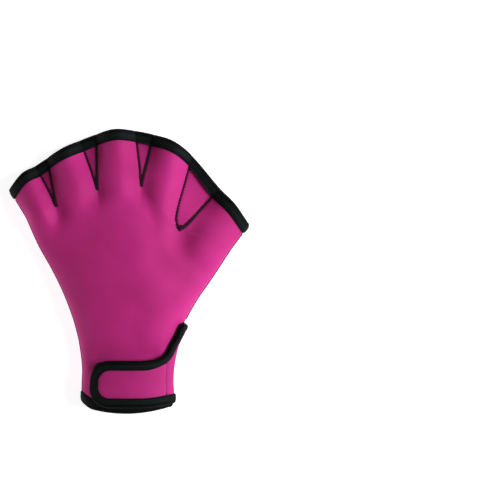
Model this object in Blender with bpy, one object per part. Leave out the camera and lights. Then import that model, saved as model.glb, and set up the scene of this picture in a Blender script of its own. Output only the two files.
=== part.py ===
# Webbed swim glove for the left hand, lying on its palm with the back of the hand up.
# Units are metres. +X runs to the thumb side, +Y to the finger edge and +Z up.
# The origin is on the surface that the glove lies on, under the middle of its box.

import math

import bmesh
import bpy
from mathutils import Vector

# Overall sizes of the glove as it lies
GLOVE_LENGTH = 0.2272        # hem to the top of the finger edge
SPREAD_WIDTH = 0.1936        # pinky end to thumb end of the finger edge
WRIST_WIDTH = 0.0690         # between the side seams at the hem
WRIST_CENTRE = -0.0019       # the wrist's middle, to the side of the glove's middle

# Heights of the middle of the back's wall over the surface
WRIST_HEIGHT = 0.0235
HAND_HEIGHT = 0.0310
KNUCKLE_HEIGHT = 0.0260
FINGER_HEIGHT = 0.0205
SEAM_HEIGHT = 0.0080         # the side seams between the back and the palm
APEX_HEIGHT = 0.0110         # the webs where they begin, at their points
DOME_POWER = 2.3             # how square the hand's section is
VALLEY_LENGTH = 0.0300       # how far a web's valley runs on into the back
RIM_WIDTH = 0.0090           # the palm's edge that curls up to the side seam

# Walls and clearances
NEOPRENE = 0.0025
TAPE_WALL = 0.0010           # one layer of the folded edge binding
GAP = 0.0003                 # between pieces that touch
FINGER_TAPE = 0.0068         # depth of the binding on the finger edge
HEM_TAPE = 0.0075            # depth of the binding on the hem
TAPE_MARGIN = 0.0010         # straight wall past a binding's depth
LIFT_FADE = 0.0080           # where the palm comes down again behind a binding

# The slit at the thumb side of the wrist and the strap that closes it
SLIT_LENGTH = 0.0715         # hem to the slit's upper end
SLIT_OPENING = 0.0021        # how far the back's edge stands in from the seam
SLIT_MOUTH = 0.0035          # the slit's upper end opens over this length
STRAP_WIDTH = 0.0345
STRAP_LENGTH = 0.0766        # side seam to the strap's tip, along the strap
STRAP_INSET = 0.0053         # hem to the strap's lower edge
STRAP_CORNER = 0.0150        # radius of the strap's rounded tip
STRAP_LOWER_RISE = 0.0035    # the lower edge rises with the hem towards the seam
STRAP_TAPE = 0.0058          # depth of the binding on the strap
STRAP_RAMP = 0.0060          # height in which the strap rises off the seam
STRAP_SINK = 0.0120          # where the strap comes down to the back above the hem
SWEEP_LENGTH = 0.0350        # the strap's root, in which its upper edge sweeps up
SWEEP_HEIGHT = 0.0305        # from its straight upper edge to the root's upper end

HALF_WALL = NEOPRENE / 2
TAPE_CLEAR = HALF_WALL + GAP
TAPE_OUT = TAPE_CLEAR + TAPE_WALL
PALM_LIFT = TAPE_WALL + GAP
WEB_EDGE_HEIGHT = PALM_LIFT + HALF_WALL + 2 * TAPE_OUT + GAP
STRAP_LIFT = 2 * TAPE_OUT + GAP           # over the hem's binding
STRAP_LOW_LIFT = TAPE_CLEAR + TAPE_OUT     # over the back itself
FINGER_ZONE = FINGER_TAPE + TAPE_MARGIN
HEM_ZONE = HEM_TAPE + TAPE_MARGIN
FLARE = (SPREAD_WIDTH - WRIST_WIDTH) / 2

# Side stations: rise up the hand, then for the pinky and the thumb side the flare as
# a share of FLARE and the place along the glove as a share of GLOVE_LENGTH.
SIDE_STATIONS = (
    # rise, pinky flare, pinky along, thumb flare, thumb along
    (0.00, 0.000, 0.028, 0.000, 0.025),
    (0.11, 0.000, 0.088, -0.003, 0.088),
    (0.23, -0.005, 0.165, 0.008, 0.165),
    (0.36, 0.035, 0.250, 0.060, 0.243),
    (0.43, 0.075, 0.297, 0.120, 0.281),
    (0.49, 0.124, 0.343, 0.170, 0.322),
    (0.61, 0.244, 0.428, 0.320, 0.397),
    (0.73, 0.390, 0.510, 0.463, 0.454),
    (0.85, 0.554, 0.590, 0.600, 0.510),
    (1.00, 0.722, 0.692, 0.762, 0.578),
)
EDGE_ENDS = ((0.928, 0.785), (0.992, 0.663))
HEM_BOW = 0.0205             # the hem's middle below its ends, share of GLOVE_LENGTH
HEM_CORNER = 0.0175          # its pinky corner is rounded off by this, share of GLOVE_LENGTH
HEM_CORNER_SHARE = 0.13      # within this share of the wrist's width

# Webs: share of the wrist where the valley would end, then the point, the left top and
# the right top, each as shares of SPREAD_WIDTH across and GLOVE_LENGTH along, and how
# far each of its two seams bows across.
WEBS = (
    # name, wrist, point, left top, right top, left bow, right bow
    ("ring_pinky", 0.16, (-0.298, 0.732), (-0.386, 0.863), (-0.337, 0.891), 0.000, 0.000),
    ("middle_ring", 0.36, (-0.129, 0.790), (-0.201, 0.953), (-0.134, 0.975), 0.000, 0.000),
    ("index_middle", 0.57, (0.053, 0.803), (0.024, 0.987), (0.100, 0.974), 0.000, 0.000),
    ("thumb_index", 0.77, (0.211, 0.648), (0.257, 0.900), (0.370, 0.785), -0.027, 0.012),
)

# The middle of each finger's mouth on the finger edge, pinky to thumb
MOUTHS = (
    # across, along
    (-0.437, 0.837),
    (-0.270, 0.926),
    (-0.058, 0.992),
    (0.183, 0.950),
    (0.432, 0.732),
)

# Where the walls have their facets, as shares of a finger's width
SIDE_STEPS = (0.0, 0.06, 0.16, 0.32, 0.52, 0.76, 0.89, 1.0)
FINGER_STEPS = (0.0, 0.11, 0.24, 0.50, 0.76, 0.89, 1.0)
SHOULDER = 0.32              # share of a finger's width in which its side rises
CROWN = 0.12                 # how much its top is crowned
HAND_ROWS = (0.18, 0.27, 0.36, 0.44, 0.52, 0.60, 0.68, 0.76, 0.83, 0.89, 0.94)
FINGER_ROWS = (0.08, 0.28, 0.52, 0.76, 1.0)
ROW_SPACE = 0.03             # a table row this near to one of the slit's rows is left out
STRAP_STEPS = 9
STRAP_TIP_STEPS = 6
STRAP_RUN_STEPS = 5          # facets between the sweep and the rounded tip
ROOT_STEPS = 5               # facets between the seam and the sweep
SECTION_STEPS = 160          # steps in which the wrist's section is measured

# The strap's upper edge, from its root's upper end to its straight run
STRAP_SWEEP = (
    # share of SWEEP_LENGTH from the seam, share of SWEEP_HEIGHT
    (0.26, 1.00),
    (0.28, 0.90),
    (0.30, 0.80),
    (0.32, 0.70),
    (0.34, 0.59),
    (0.37, 0.43),
    (0.41, 0.29),
    (0.47, 0.18),
    (0.56, 0.10),
    (0.68, 0.045),
    (0.83, 0.012),
    (1.00, 0.00),
)


def smooth(value):
    value = min(max(value, 0.0), 1.0)
    return value * value * (3 - 2 * value)


def mix(low, high, share):
    return low + (high - low) * share


def glove_point(across, along):
    return Vector((across * SPREAD_WIDTH, (along - 0.5) * GLOVE_LENGTH, 0.0))


def chain_point(places, points, place):
    """A smooth curve through points that stand at the given places."""
    last = len(points) - 1
    step = 0
    while step < last - 1 and place > places[step + 1]:
        step += 1

    def slope(k):
        low = max(k - 1, 0)
        high = min(k + 1, last)
        return (points[high] - points[low]) / (places[high] - places[low])

    span = places[step + 1] - places[step]
    t = (place - places[step]) / span
    start = points[step] * (2 * t ** 3 - 3 * t ** 2 + 1)
    end = points[step + 1] * (3 * t ** 2 - 2 * t ** 3)
    leave = slope(step) * span * (t ** 3 - 2 * t ** 2 + t)
    arrive = slope(step + 1) * span * (t ** 3 - t ** 2)
    return start + leave + arrive + end


RISES = [row[0] for row in SIDE_STATIONS]


def side_x(flare, side):
    return WRIST_CENTRE + side * (WRIST_WIDTH / 2 + flare * FLARE)


PINKY_SIDE = [Vector((side_x(row[1], -1), (row[2] - 0.5) * GLOVE_LENGTH, 0.0))
              for row in SIDE_STATIONS]
THUMB_SIDE = [Vector((side_x(row[3], 1), (row[4] - 0.5) * GLOVE_LENGTH, 0.0))
              for row in SIDE_STATIONS]


def edge_knots():
    """The finger edge's named points, pinky to thumb, three to a finger and web."""
    (pinky_flare, pinky_along), (thumb_flare, thumb_along) = EDGE_ENDS
    knots = [Vector((side_x(pinky_flare, -1), (pinky_along - 0.5) * GLOVE_LENGTH, 0.0))]
    for number, mouth in enumerate(MOUTHS):
        knots.append(glove_point(*mouth))
        if number < len(WEBS):
            knots.append(glove_point(*WEBS[number][3]))
            knots.append(glove_point(*WEBS[number][4]))
    knots.append(Vector((side_x(thumb_flare, 1), (thumb_along - 0.5) * GLOVE_LENGTH, 0.0)))
    return knots


EDGE_KNOTS = edge_knots()
EDGE_PLACES = [0.0]
for before, after in zip(EDGE_KNOTS, EDGE_KNOTS[1:]):
    EDGE_PLACES.append(EDGE_PLACES[-1] + (after - before).length)


def edge_point(kind, number, share):
    """A point of the finger edge, in a finger's mouth or on a web."""
    position = 3 * number + 2 * share if kind == "finger" else 3 * number + 2 + share
    knot = min(int(position), len(EDGE_KNOTS) - 2)
    place = mix(EDGE_PLACES[knot], EDGE_PLACES[knot + 1], position - knot)
    return chain_point(EDGE_PLACES, EDGE_KNOTS, place)


def hand_point(share, rise):
    """A point between the side seams, at a share across and a rise up the hand."""
    left = chain_point(RISES, PINKY_SIDE, rise)
    right = chain_point(RISES, THUMB_SIDE, rise)
    point = left.lerp(right, share)
    bow = HEM_BOW * 4 * share * (1 - share)
    corner = HEM_CORNER * max(1 - share / HEM_CORNER_SHARE, 0.0) ** 2
    point.y += (corner - bow) * GLOVE_LENGTH * (1 - smooth(rise / RISES[2]))
    return point


def rise_at(share, y):
    """The rise at which the hand's point at a share across has this y."""
    low, high = 0.0, 1.0
    for _ in range(30):
        middle = (low + high) / 2
        if hand_point(share, middle).y < y:
            low = middle
        else:
            high = middle
    return (low + high) / 2


HAND_SPAN = (hand_point(0.5, 1.0) - hand_point(0.5, 0.0)).length
STRAP_MIDDLE_Y = hand_point(0.5, 0.0).y + STRAP_INSET + STRAP_WIDTH / 2
SLIT_TOP_RISE = SLIT_LENGTH / HAND_SPAN


def slit_share(rise):
    """How far the back's thumb edge stands in from the seam, as a share of the width."""
    length = rise * HAND_SPAN
    opened = smooth((SLIT_LENGTH - length) / SLIT_MOUTH)
    return opened * SLIT_OPENING / WRIST_WIDTH


def dome_height(share, rise):
    if rise < 0.6:
        top = mix(WRIST_HEIGHT, HAND_HEIGHT, smooth((rise - 0.15) / 0.45))
    else:
        top = mix(HAND_HEIGHT, KNUCKLE_HEIGHT, smooth((rise - 0.6) / 0.4))
    share = min(max(share, 0.0), 1.0)
    round_share = (1 - abs(2 * share - 1) ** DOME_POWER) ** (1 / DOME_POWER)
    return SEAM_HEIGHT + GAP / 2 + (top - SEAM_HEIGHT) * round_share


def shoulder(share):
    return smooth(share / SHOULDER)


def round_side(share):
    return (1 - abs(1 - min(2 * share, 1.0)) ** DOME_POWER) ** (1 / DOME_POWER)


def web_height(forward):
    return mix(APEX_HEIGHT, WEB_EDGE_HEIGHT, min(forward / 0.7, 1.0))


def finger_height(number, share, forward):
    """The back's height over a finger, from its left side to its right side."""
    low = web_height(forward)
    seam = SEAM_HEIGHT + GAP / 2
    top = mix(KNUCKLE_HEIGHT, FINGER_HEIGHT, smooth(forward))
    crown = (1 + CROWN * (1 - (2 * share - 1) ** 2)) / (1 + CROWN)
    left_base = seam if number == 0 else low
    right_base = seam if number == len(MOUTHS) - 1 else low
    left = round_side(share) if number == 0 else shoulder(share)
    right = round_side(1 - share) if number == len(MOUTHS) - 1 else shoulder(1 - share)
    base = mix(left_base, right_base, share)
    return base + (top - base) * left * right * crown


def column_list():
    """Every column of facets, pinky to thumb: over a finger or down a web's middle."""
    columns = []
    for number in range(len(MOUTHS)):
        steps = FINGER_STEPS
        if number == 0:
            steps = SIDE_STEPS
        if number == len(MOUTHS) - 1:
            steps = tuple(1 - step for step in reversed(SIDE_STEPS))
        columns += [("finger", number, step) for step in steps]
        if number < len(WEBS):
            columns.append(("web", number, 0.5))
    return columns


def row_list():
    """Every row of facets, hem to finger edge, with rows where the slit's ends are."""
    fixed = [0.0, HEM_ZONE / HAND_SPAN, SLIT_TOP_RISE - SLIT_MOUTH / HAND_SPAN, SLIT_TOP_RISE,
             1.0]
    spare = [r for r in HAND_ROWS if min(abs(r - f) for f in fixed) > ROW_SPACE]
    rows = [("hand", r) for r in sorted(fixed + spare)]
    return rows + [("finger", r) for r in FINGER_ROWS] + [("edge", 1.0)]


COLUMNS = column_list()
ROWS = row_list()
POINT_ROW = ROWS.index(("hand", 1.0))


def wrist_share(kind, number, share):
    stops = [0.0] + [web[1] for web in WEBS] + [1.0]
    if kind == "web":
        return stops[number + 1]
    return mix(stops[number], stops[number + 1], share)


def point_line(kind, number, share):
    """The line across the hand through the points of the webs."""
    stops = [PINKY_SIDE[-1]] + [glove_point(*web[2]) for web in WEBS] + [THUMB_SIDE[-1]]
    if kind == "web":
        return stops[number + 1]
    return stops[number].lerp(stops[number + 1], share)


def web_bow(kind, number, share):
    """How far a column bows across between the web's points and the finger edge."""
    left_of = [web[5] for web in WEBS]
    right_of = [web[6] for web in WEBS]
    if kind == "web":
        return mix(left_of[number], right_of[number], share)
    start = right_of[number - 1] if number > 0 else 0.0
    end = left_of[number] if number < len(WEBS) else 0.0
    return mix(start, end, share)


def plan_point(column, row):
    """Where a column and a row cross, seen from above, and the forward share."""
    kind, number, share = column
    zone, place = row
    across = wrist_share(kind, number, share)
    base = point_line(kind, number, share)
    if zone == "hand":
        pull = smooth((place - 0.35) / 0.65)
        return hand_point(across, place) + (base - hand_point(across, 1.0)) * pull, 0.0
    edge = edge_point(kind, number, share)
    reach = (edge - base).length
    forward = 1.0 if zone == "edge" else place * (1 - FINGER_ZONE / reach)
    point = base.lerp(edge, forward)
    point.x += web_bow(kind, number, share) * SPREAD_WIDTH * math.sin(math.pi * forward ** 0.4)
    return point, forward


def row_share(point, rise):
    left = chain_point(RISES, PINKY_SIDE, rise).x
    right = chain_point(RISES, THUMB_SIDE, rise).x
    return (point.x - left) / (right - left)


def back_point(column, row):
    """The middle of the back's wall."""
    kind, number, share = column
    zone, place = row
    point, forward = plan_point(column, row)
    if zone == "hand":
        across = row_share(point, place)
        inset = slit_share(place)
        left = chain_point(RISES, PINKY_SIDE, place).x
        right = chain_point(RISES, THUMB_SIDE, place).x
        point.x = mix(left, right, across * (1 - inset))
        dome = dome_height(across * (1 - inset), place)
        valley = smooth((place - 1) * HAND_SPAN / VALLEY_LENGTH + 1)
    else:
        dome = 0.0
        valley = 1.0
    over = web_height(forward) if kind == "web" else finger_height(number, share, forward)
    point.z = mix(dome, over, valley)
    return point


def palm_point(column, row):
    """The middle of the palm's wall: flat, with edges that curl up to the seams."""
    kind, number, share = column
    zone, place = row
    point, forward = plan_point(column, row)
    if zone == "hand":
        from_edge = place * HAND_SPAN
        lift = 1 - smooth((from_edge - HEM_ZONE) / LIFT_FADE)
        valley = smooth((place - 1) * HAND_SPAN / VALLEY_LENGTH + 1)
    else:
        from_edge = (edge_point(kind, number, share) - point).length
        lift = 1 - smooth((from_edge - FINGER_ZONE) / LIFT_FADE)
        valley = 1.0 - smooth((FINGER_ZONE + LIFT_FADE - from_edge) / LIFT_FADE)
    flat = HALF_WALL + PALM_LIFT * lift
    under_web = web_height(forward) - NEOPRENE - GAP
    rise = 1.0
    if kind == "finger":
        left = 0.0 if number == 0 else 1 - shoulder(share)
        right = 0.0 if number == len(MOUTHS) - 1 else 1 - shoulder(1 - share)
        rise = max(left, right)
    height = flat + max(under_web - flat, 0.0) * rise * valley
    seam = SEAM_HEIGHT - GAP / 2
    for side_column in (COLUMNS[0], COLUMNS[-1]):
        side, _ = plan_point(side_column, row)
        from_side = min((point - side).length / RIM_WIDTH, 1.0)
        curl = 1 - math.sqrt(1 - (1 - from_side) ** 2)
        height += (seam - height) * curl
    point.z = height
    return point


def key(point):
    return tuple(round(value * 1e7) for value in point)


class Wall:
    """A wall's middle points and normals at every crossing of a column and a row."""

    def __init__(self, point_at, outward, seam_rows):
        self.points = [[point_at(c, r) for r in ROWS] for c in COLUMNS]
        self.normals = self.face_normals()
        self.set_web_normals()
        self.set_side_normals(outward, seam_rows)

    def face_normals(self):
        sums = {}
        for c in range(len(COLUMNS) - 1):
            for r in range(len(ROWS) - 1):
                corners = [self.points[c][r], self.points[c + 1][r],
                           self.points[c + 1][r + 1], self.points[c][r + 1]]
                normal = (corners[2] - corners[0]).cross(corners[3] - corners[1])
                for corner in {key(p) for p in corners}:
                    sums[corner] = sums.get(corner, Vector()) + normal
        return [[sums[key(p)].normalized() for p in column] for column in self.points]

    def set_web_normals(self):
        """On a web and its two seams the walls lie flat."""
        for c, (kind, number, share) in enumerate(COLUMNS):
            on_seam = kind == "web" or share in (0.0, 1.0)
            if on_seam and 0 < c < len(COLUMNS) - 1:
                for r in range(POINT_ROW, len(ROWS)):
                    self.normals[c][r] = Vector((0, 0, 1))

    def set_side_normals(self, outward, seam_rows):
        for c, side in ((0, -1), (len(COLUMNS) - 1, 1)):
            column = self.points[c]
            for r in range(len(ROWS)):
                if side == 1 and r < seam_rows:
                    continue
                along = column[min(r + 1, len(ROWS) - 1)] - column[max(r - 1, 0)]
                out = Vector((along.y, -along.x, 0.0)).normalized() * side
                self.normals[c][r] = out * outward

    def line_in(self, c, r_from, direction):
        """Points and normals down a column, from an edge inwards."""
        rows = range(r_from, len(ROWS)) if direction > 0 else range(r_from, -1, -1)
        return [(self.points[c][r], self.normals[c][r]) for r in rows]


SLIT_TOP_ROW = ROWS.index(("hand", SLIT_TOP_RISE))


def new_material(name, colour, roughness):
    material = bpy.data.materials.new(name)
    material.use_nodes = True
    shader = material.node_tree.nodes["Principled BSDF"]
    shader.inputs["Base Color"].default_value = (*colour, 1.0)
    shader.inputs["Roughness"].default_value = roughness
    shader.inputs["Metallic"].default_value = 0.0
    return material


def add_piece(name, vertices, faces, material):
    """One closed body, with flat faces facing out."""
    mesh = bpy.data.meshes.new(name)
    mesh.from_pydata([tuple(v) for v in vertices], [], faces)
    shape = bmesh.new()
    shape.from_mesh(mesh)
    bmesh.ops.remove_doubles(shape, verts=shape.verts, dist=1e-7)
    bmesh.ops.triangulate(shape, faces=shape.faces)
    bmesh.ops.recalc_face_normals(shape, faces=shape.faces)
    if shape.calc_volume(signed=True) < 0:
        bmesh.ops.reverse_faces(shape, faces=shape.faces)
    shape.to_mesh(mesh)
    shape.free()
    mesh.materials.append(material)
    mesh.shade_smooth()
    mesh.set_sharp_from_angle(angle=math.radians(40))
    piece = bpy.data.objects.new(name, mesh)
    bpy.context.collection.objects.link(piece)
    return piece


def thick_sheet(name, quads, half, material):
    """A wall of even thickness from its middle quads: corners are (point, normal)."""
    index = {}
    middles = []
    faces = []
    for quad in quads:
        face = []
        for point, normal in quad:
            spot = key(point)
            if spot not in index:
                index[spot] = len(middles)
                middles.append((point, normal))
            if index[spot] not in face:
                face.append(index[spot])
        if len(face) > 2:
            faces.append(face)
    count = len(middles)
    vertices = [p + n * half for p, n in middles] + [p - n * half for p, n in middles]
    solid = list(faces) + [[v + count for v in reversed(face)] for face in faces]
    edges = {(a, b) for face in faces for a, b in zip(face, face[1:] + face[:1])}
    for a, b in edges:
        if (b, a) not in edges:
            solid.append([b, a, a + count, b + count])
    return add_piece(name, vertices, solid, material)


def wall_quads(wall, webs):
    """A wall's quads, with or without those of the webs."""
    quads = []
    for c in range(len(COLUMNS) - 1):
        is_web = "web" in (COLUMNS[c][0], COLUMNS[c + 1][0])
        for r in range(len(ROWS) - 1):
            if is_web and (r < POINT_ROW or not webs):
                continue
            corners = ((c, r), (c + 1, r), (c + 1, r + 1), (c, r + 1))
            quads.append([(wall.points[a][b], wall.normals[a][b]) for a, b in corners])
    return quads


def walk(line, distance, height):
    """The place a distance in from a wall's edge, at a height over its middle."""
    (point, normal), (after, after_normal) = line[0], line[1]
    if distance <= 0:
        out = (point - after).normalized()
        return point + normal * height - out * distance
    left = distance
    for (point, normal), (after, after_normal) in zip(line, line[1:]):
        length = (after - point).length
        if length > left or length == 0:
            share = left / length if length else 0.0
            if length:
                base = point.lerp(after, share)
                return base + normal.lerp(after_normal, share).normalized() * height
        left -= length
    return line[-1][0] + line[-1][1] * height


def tape_section(depth, steps):
    """The folded binding's section: distance in from the edge, height over the wall."""
    inner = [(depth * (1 - k / steps), TAPE_CLEAR) for k in range(steps)]
    inner += [(-GAP, TAPE_CLEAR), (-GAP, -TAPE_CLEAR)]
    inner += [(depth * (k + 1) / steps, -TAPE_CLEAR) for k in range(steps)]
    outer = [(depth * (1 - k / steps), -TAPE_OUT) for k in range(steps)]
    outer += [(-GAP - TAPE_WALL * 0.4, -TAPE_OUT), (-PALM_LIFT, -TAPE_CLEAR * 0.6)]
    outer += [(-PALM_LIFT, TAPE_CLEAR * 0.6), (-GAP - TAPE_WALL * 0.4, TAPE_OUT)]
    outer += [(depth * (k + 1) / steps, TAPE_OUT) for k in range(steps)]
    return inner, outer


def folded_tape(name, places, depth, material, steps=1):
    """A binding folded round a wall's edge: places give a point for each (in, height)."""
    inner, outer = tape_section(depth, steps)
    section = inner + outer
    size = len(section)
    vertices = [place(a, h) for place in places for a, h in section]
    faces = []
    for row in range(len(places) - 1):
        for k in range(size):
            after = (k + 1) % size
            start = row * size
            faces.append([start + k, start + after, start + size + after, start + size + k])
    upper = steps                      # the slot's upper corner
    lower = steps + 1                  # the slot's lower corner
    first = 2 * steps + 2              # the outer end of the lower leg
    fold = first + steps               # the first of the four points of the fold
    cap = [[k, k + 1, size - 2 - k, size - 1 - k] for k in range(steps)]
    cap += [[upper, fold + 2, fold + 3], [upper, lower, fold + 1, fold + 2]]
    cap += [[lower, fold, fold + 1]]
    cap += [[lower + k, lower + k + 1, fold - 1 - k, fold - k] for k in range(steps)]
    last = (len(places) - 1) * size
    faces += [list(face) for face in cap]
    faces += [[last + k for k in reversed(face)] for face in cap]
    return add_piece(name, vertices, faces, material)


def distinct(lines):
    """Drops a line that starts where the one before it does."""
    kept = [lines[0]]
    for line in lines[1:]:
        if (line[0][0] - kept[-1][0][0]).length > 1e-6:
            kept.append(line)
    return kept


def tape_on_lines(name, lines, depth, material, steps=1):
    places = [lambda a, h, line=line: walk(line, a, h) for line in distinct(lines)]
    return folded_tape(name, places, depth, material, steps)


def add_webs(back, material):
    """Each web is its own panel, set between the seams with a gap."""
    for number, web in enumerate(WEBS):
        middle = COLUMNS.index(("web", number, 0.5))
        rows = []
        for r in range(POINT_ROW + 1, len(ROWS)):
            centre = back.points[middle][r]
            row = []
            for c in (middle - 1, middle, middle + 1):
                point = back.points[c][r].copy()
                if c != middle:
                    point += (centre - point).normalized() * GAP
                row.append((point, back.normals[c][r]))
            rows.append(row)
        quads = []
        for low, high in zip(rows, rows[1:]):
            for c in range(2):
                quads.append([low[c], low[c + 1], high[c + 1], high[c]])
        thick_sheet("web_" + web[0], quads, HALF_WALL, material)


def wrist_point(share, y):
    rise = rise_at(share, y)
    point = hand_point(share, rise)
    point.z = dome_height(share, rise)
    return point


def strap_middle(share, y):
    """The middle of the strap's wall: up from the side seam, then over the back."""
    small = 1e-4
    point = wrist_point(share, y)
    across = wrist_point(min(share + small, 1.0), y) - wrist_point(share - small, y)
    along = wrist_point(share, y + small) - wrist_point(share, y - small)
    normal = across.cross(along).normalized()
    over_hem = hand_point(1.0, 0.0).y + HEM_ZONE
    full = mix(STRAP_LIFT, STRAP_LOW_LIFT, smooth((y - over_hem) / STRAP_SINK))
    return point + normal * full * smooth((point.z - SEAM_HEIGHT) / STRAP_RAMP)


def measure_section():
    """How far along the strap each share of the wrist lies, from the side seam on."""
    shares = []
    lengths = []
    for k in range(SECTION_STEPS + 1):
        share = 1 - 0.99 * (k / SECTION_STEPS) ** 2
        spot = strap_middle(share, STRAP_MIDDLE_Y)
        step = (spot - last).length if shares else 0.0
        lengths.append(lengths[-1] + step if shares else 0.0)
        shares.append(share)
        last = spot
    return shares, lengths


SECTION_SHARES, SECTION_LENGTHS = measure_section()


def share_at(length):
    """The share across the wrist at a length along the strap."""
    length = min(max(length, 0.0), SECTION_LENGTHS[-1])
    k = next(k for k in range(1, SECTION_STEPS + 1) if SECTION_LENGTHS[k] >= length)
    part = (length - SECTION_LENGTHS[k - 1]) / (SECTION_LENGTHS[k] - SECTION_LENGTHS[k - 1])
    return mix(SECTION_SHARES[k - 1], SECTION_SHARES[k], part)


def strap_place(length, y):
    """The middle of the strap's wall and its normal, at a place on the flat strap."""
    small = 3e-4
    spot = strap_middle(share_at(length), y)
    along = strap_middle(share_at(length), y + small) - strap_middle(share_at(length), y - small)
    if length < small:
        return spot, Vector((along.y, -along.x, 0.0)).normalized()
    before = strap_middle(share_at(length - small), y)
    across = before - strap_middle(share_at(length + small), y)
    return spot, across.cross(along).normalized()


def strap_columns():
    """Lengths from the seam with the strap's upper and lower edge there."""
    half = STRAP_WIDTH / 2
    corner = min(STRAP_CORNER, half * 0.92)
    places = [row[0] for row in STRAP_SWEEP]
    heights = [row[1] for row in STRAP_SWEEP]
    root = places[0] * SWEEP_LENGTH
    lengths = [root * k / ROOT_STEPS for k in range(ROOT_STEPS)]
    lengths += [place * SWEEP_LENGTH for place in places]
    run = STRAP_LENGTH - corner - SWEEP_LENGTH
    lengths += [SWEEP_LENGTH + run * (k + 1) / STRAP_RUN_STEPS for k in range(STRAP_RUN_STEPS)]
    columns = []
    for length in lengths:
        sweep = chain_point(places, heights, min(max(length / SWEEP_LENGTH, places[0]), 1.0))
        rise = STRAP_LOWER_RISE * (1 - smooth(length / SWEEP_LENGTH))
        columns.append((length, STRAP_MIDDLE_Y + half + sweep * SWEEP_HEIGHT,
                        STRAP_MIDDLE_Y - half + rise))
    for k in range(1, STRAP_TIP_STEPS + 1):
        turn = math.radians(90) * (1 - k / STRAP_TIP_STEPS)
        reach = half - corner + corner * math.sin(turn)
        columns.append((STRAP_LENGTH - corner * (1 - math.cos(turn)),
                        STRAP_MIDDLE_Y + reach, STRAP_MIDDLE_Y - reach))
    return columns


def add_strap(material, tape_material):
    columns = strap_columns()
    grid = [[strap_place(length, mix(bottom, top, k / STRAP_STEPS))
             for k in range(STRAP_STEPS + 1)] for length, top, bottom in columns]
    quads = []
    for low, high in zip(grid, grid[1:]):
        for k in range(STRAP_STEPS):
            quads.append([low[k], high[k], high[k + 1], low[k + 1]])
    thick_sheet("closure_strap", quads, HALF_WALL, material)
    add_strap_tape(columns, tape_material)


def add_strap_tape(columns, material):
    """The binding runs from the root's upper end down the sweep, round the tip and back."""
    outline = [Vector((length, top)) for length, top, _ in columns[ROOT_STEPS:]]
    outline += [Vector((length, bottom)) for length, _, bottom in reversed(columns)]
    places = []
    for k, spot in enumerate(outline):
        step = outline[min(k + 1, len(outline) - 1)] - outline[max(k - 1, 0)]
        inward = Vector((step.y, -step.x)).normalized()
        if k == 0:
            inward = Vector((-1.0, 0.0))

        def place(distance, height, spot=spot, inward=inward):
            point, normal = strap_place(*(spot + inward * distance))
            return point + normal * height

        places.append(place)
    folded_tape("strap_binding", places, STRAP_TAPE, material, steps=3)


def build():
    for old in list(bpy.data.objects):
        bpy.data.objects.remove(old, do_unlink=True)
    neoprene = new_material("magenta neoprene", (0.46, 0.03, 0.18), 0.75)
    web_neoprene = new_material("magenta web neoprene", (0.36, 0.02, 0.14), 0.80)
    tape = new_material("black binding tape", (0.012, 0.016, 0.015), 0.85)

    back = Wall(back_point, 1, SLIT_TOP_ROW)
    palm = Wall(palm_point, -1, 0)
    thick_sheet("back_panel", wall_quads(back, webs=False), HALF_WALL, neoprene)
    thick_sheet("palm_panel", wall_quads(palm, webs=True), HALF_WALL, neoprene)
    add_webs(back, web_neoprene)

    edge = len(ROWS) - 1
    every = range(len(COLUMNS))
    tape_on_lines("finger_edge_binding_back", [back.line_in(c, edge, -1) for c in every],
                  FINGER_TAPE, tape)
    tape_on_lines("finger_edge_binding_palm", [palm.line_in(c, edge, -1) for c in every],
                  FINGER_TAPE, tape)
    tape_on_lines("hem_binding_back", [back.line_in(c, 0, 1) for c in every],
                  HEM_TAPE, tape)
    tape_on_lines("hem_binding_palm", [palm.line_in(c, 0, 1) for c in every],
                  HEM_TAPE, tape)
    add_strap(neoprene, tape)


build()
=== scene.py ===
# Webbed swim glove for the left hand, lying palm down: neoprene with a jersey face, bound edges
# and a wrist strap. Metres, +X to the thumb side, +Y to the finger edge, +Z up.
import math

import bpy
import numpy as np
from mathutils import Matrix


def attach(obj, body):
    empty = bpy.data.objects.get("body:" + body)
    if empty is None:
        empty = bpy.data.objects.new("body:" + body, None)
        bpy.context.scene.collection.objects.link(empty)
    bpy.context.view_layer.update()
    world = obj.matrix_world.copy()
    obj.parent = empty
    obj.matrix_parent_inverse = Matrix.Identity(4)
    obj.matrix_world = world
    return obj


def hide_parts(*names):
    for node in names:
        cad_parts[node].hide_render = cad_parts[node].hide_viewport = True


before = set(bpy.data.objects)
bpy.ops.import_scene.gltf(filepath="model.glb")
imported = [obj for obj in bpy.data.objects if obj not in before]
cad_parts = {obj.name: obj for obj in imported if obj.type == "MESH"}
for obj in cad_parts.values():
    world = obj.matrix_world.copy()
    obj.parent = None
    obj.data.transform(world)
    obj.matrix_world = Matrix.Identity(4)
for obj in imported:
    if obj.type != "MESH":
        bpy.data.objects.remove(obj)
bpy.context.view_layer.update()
mm = 0.001


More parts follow.
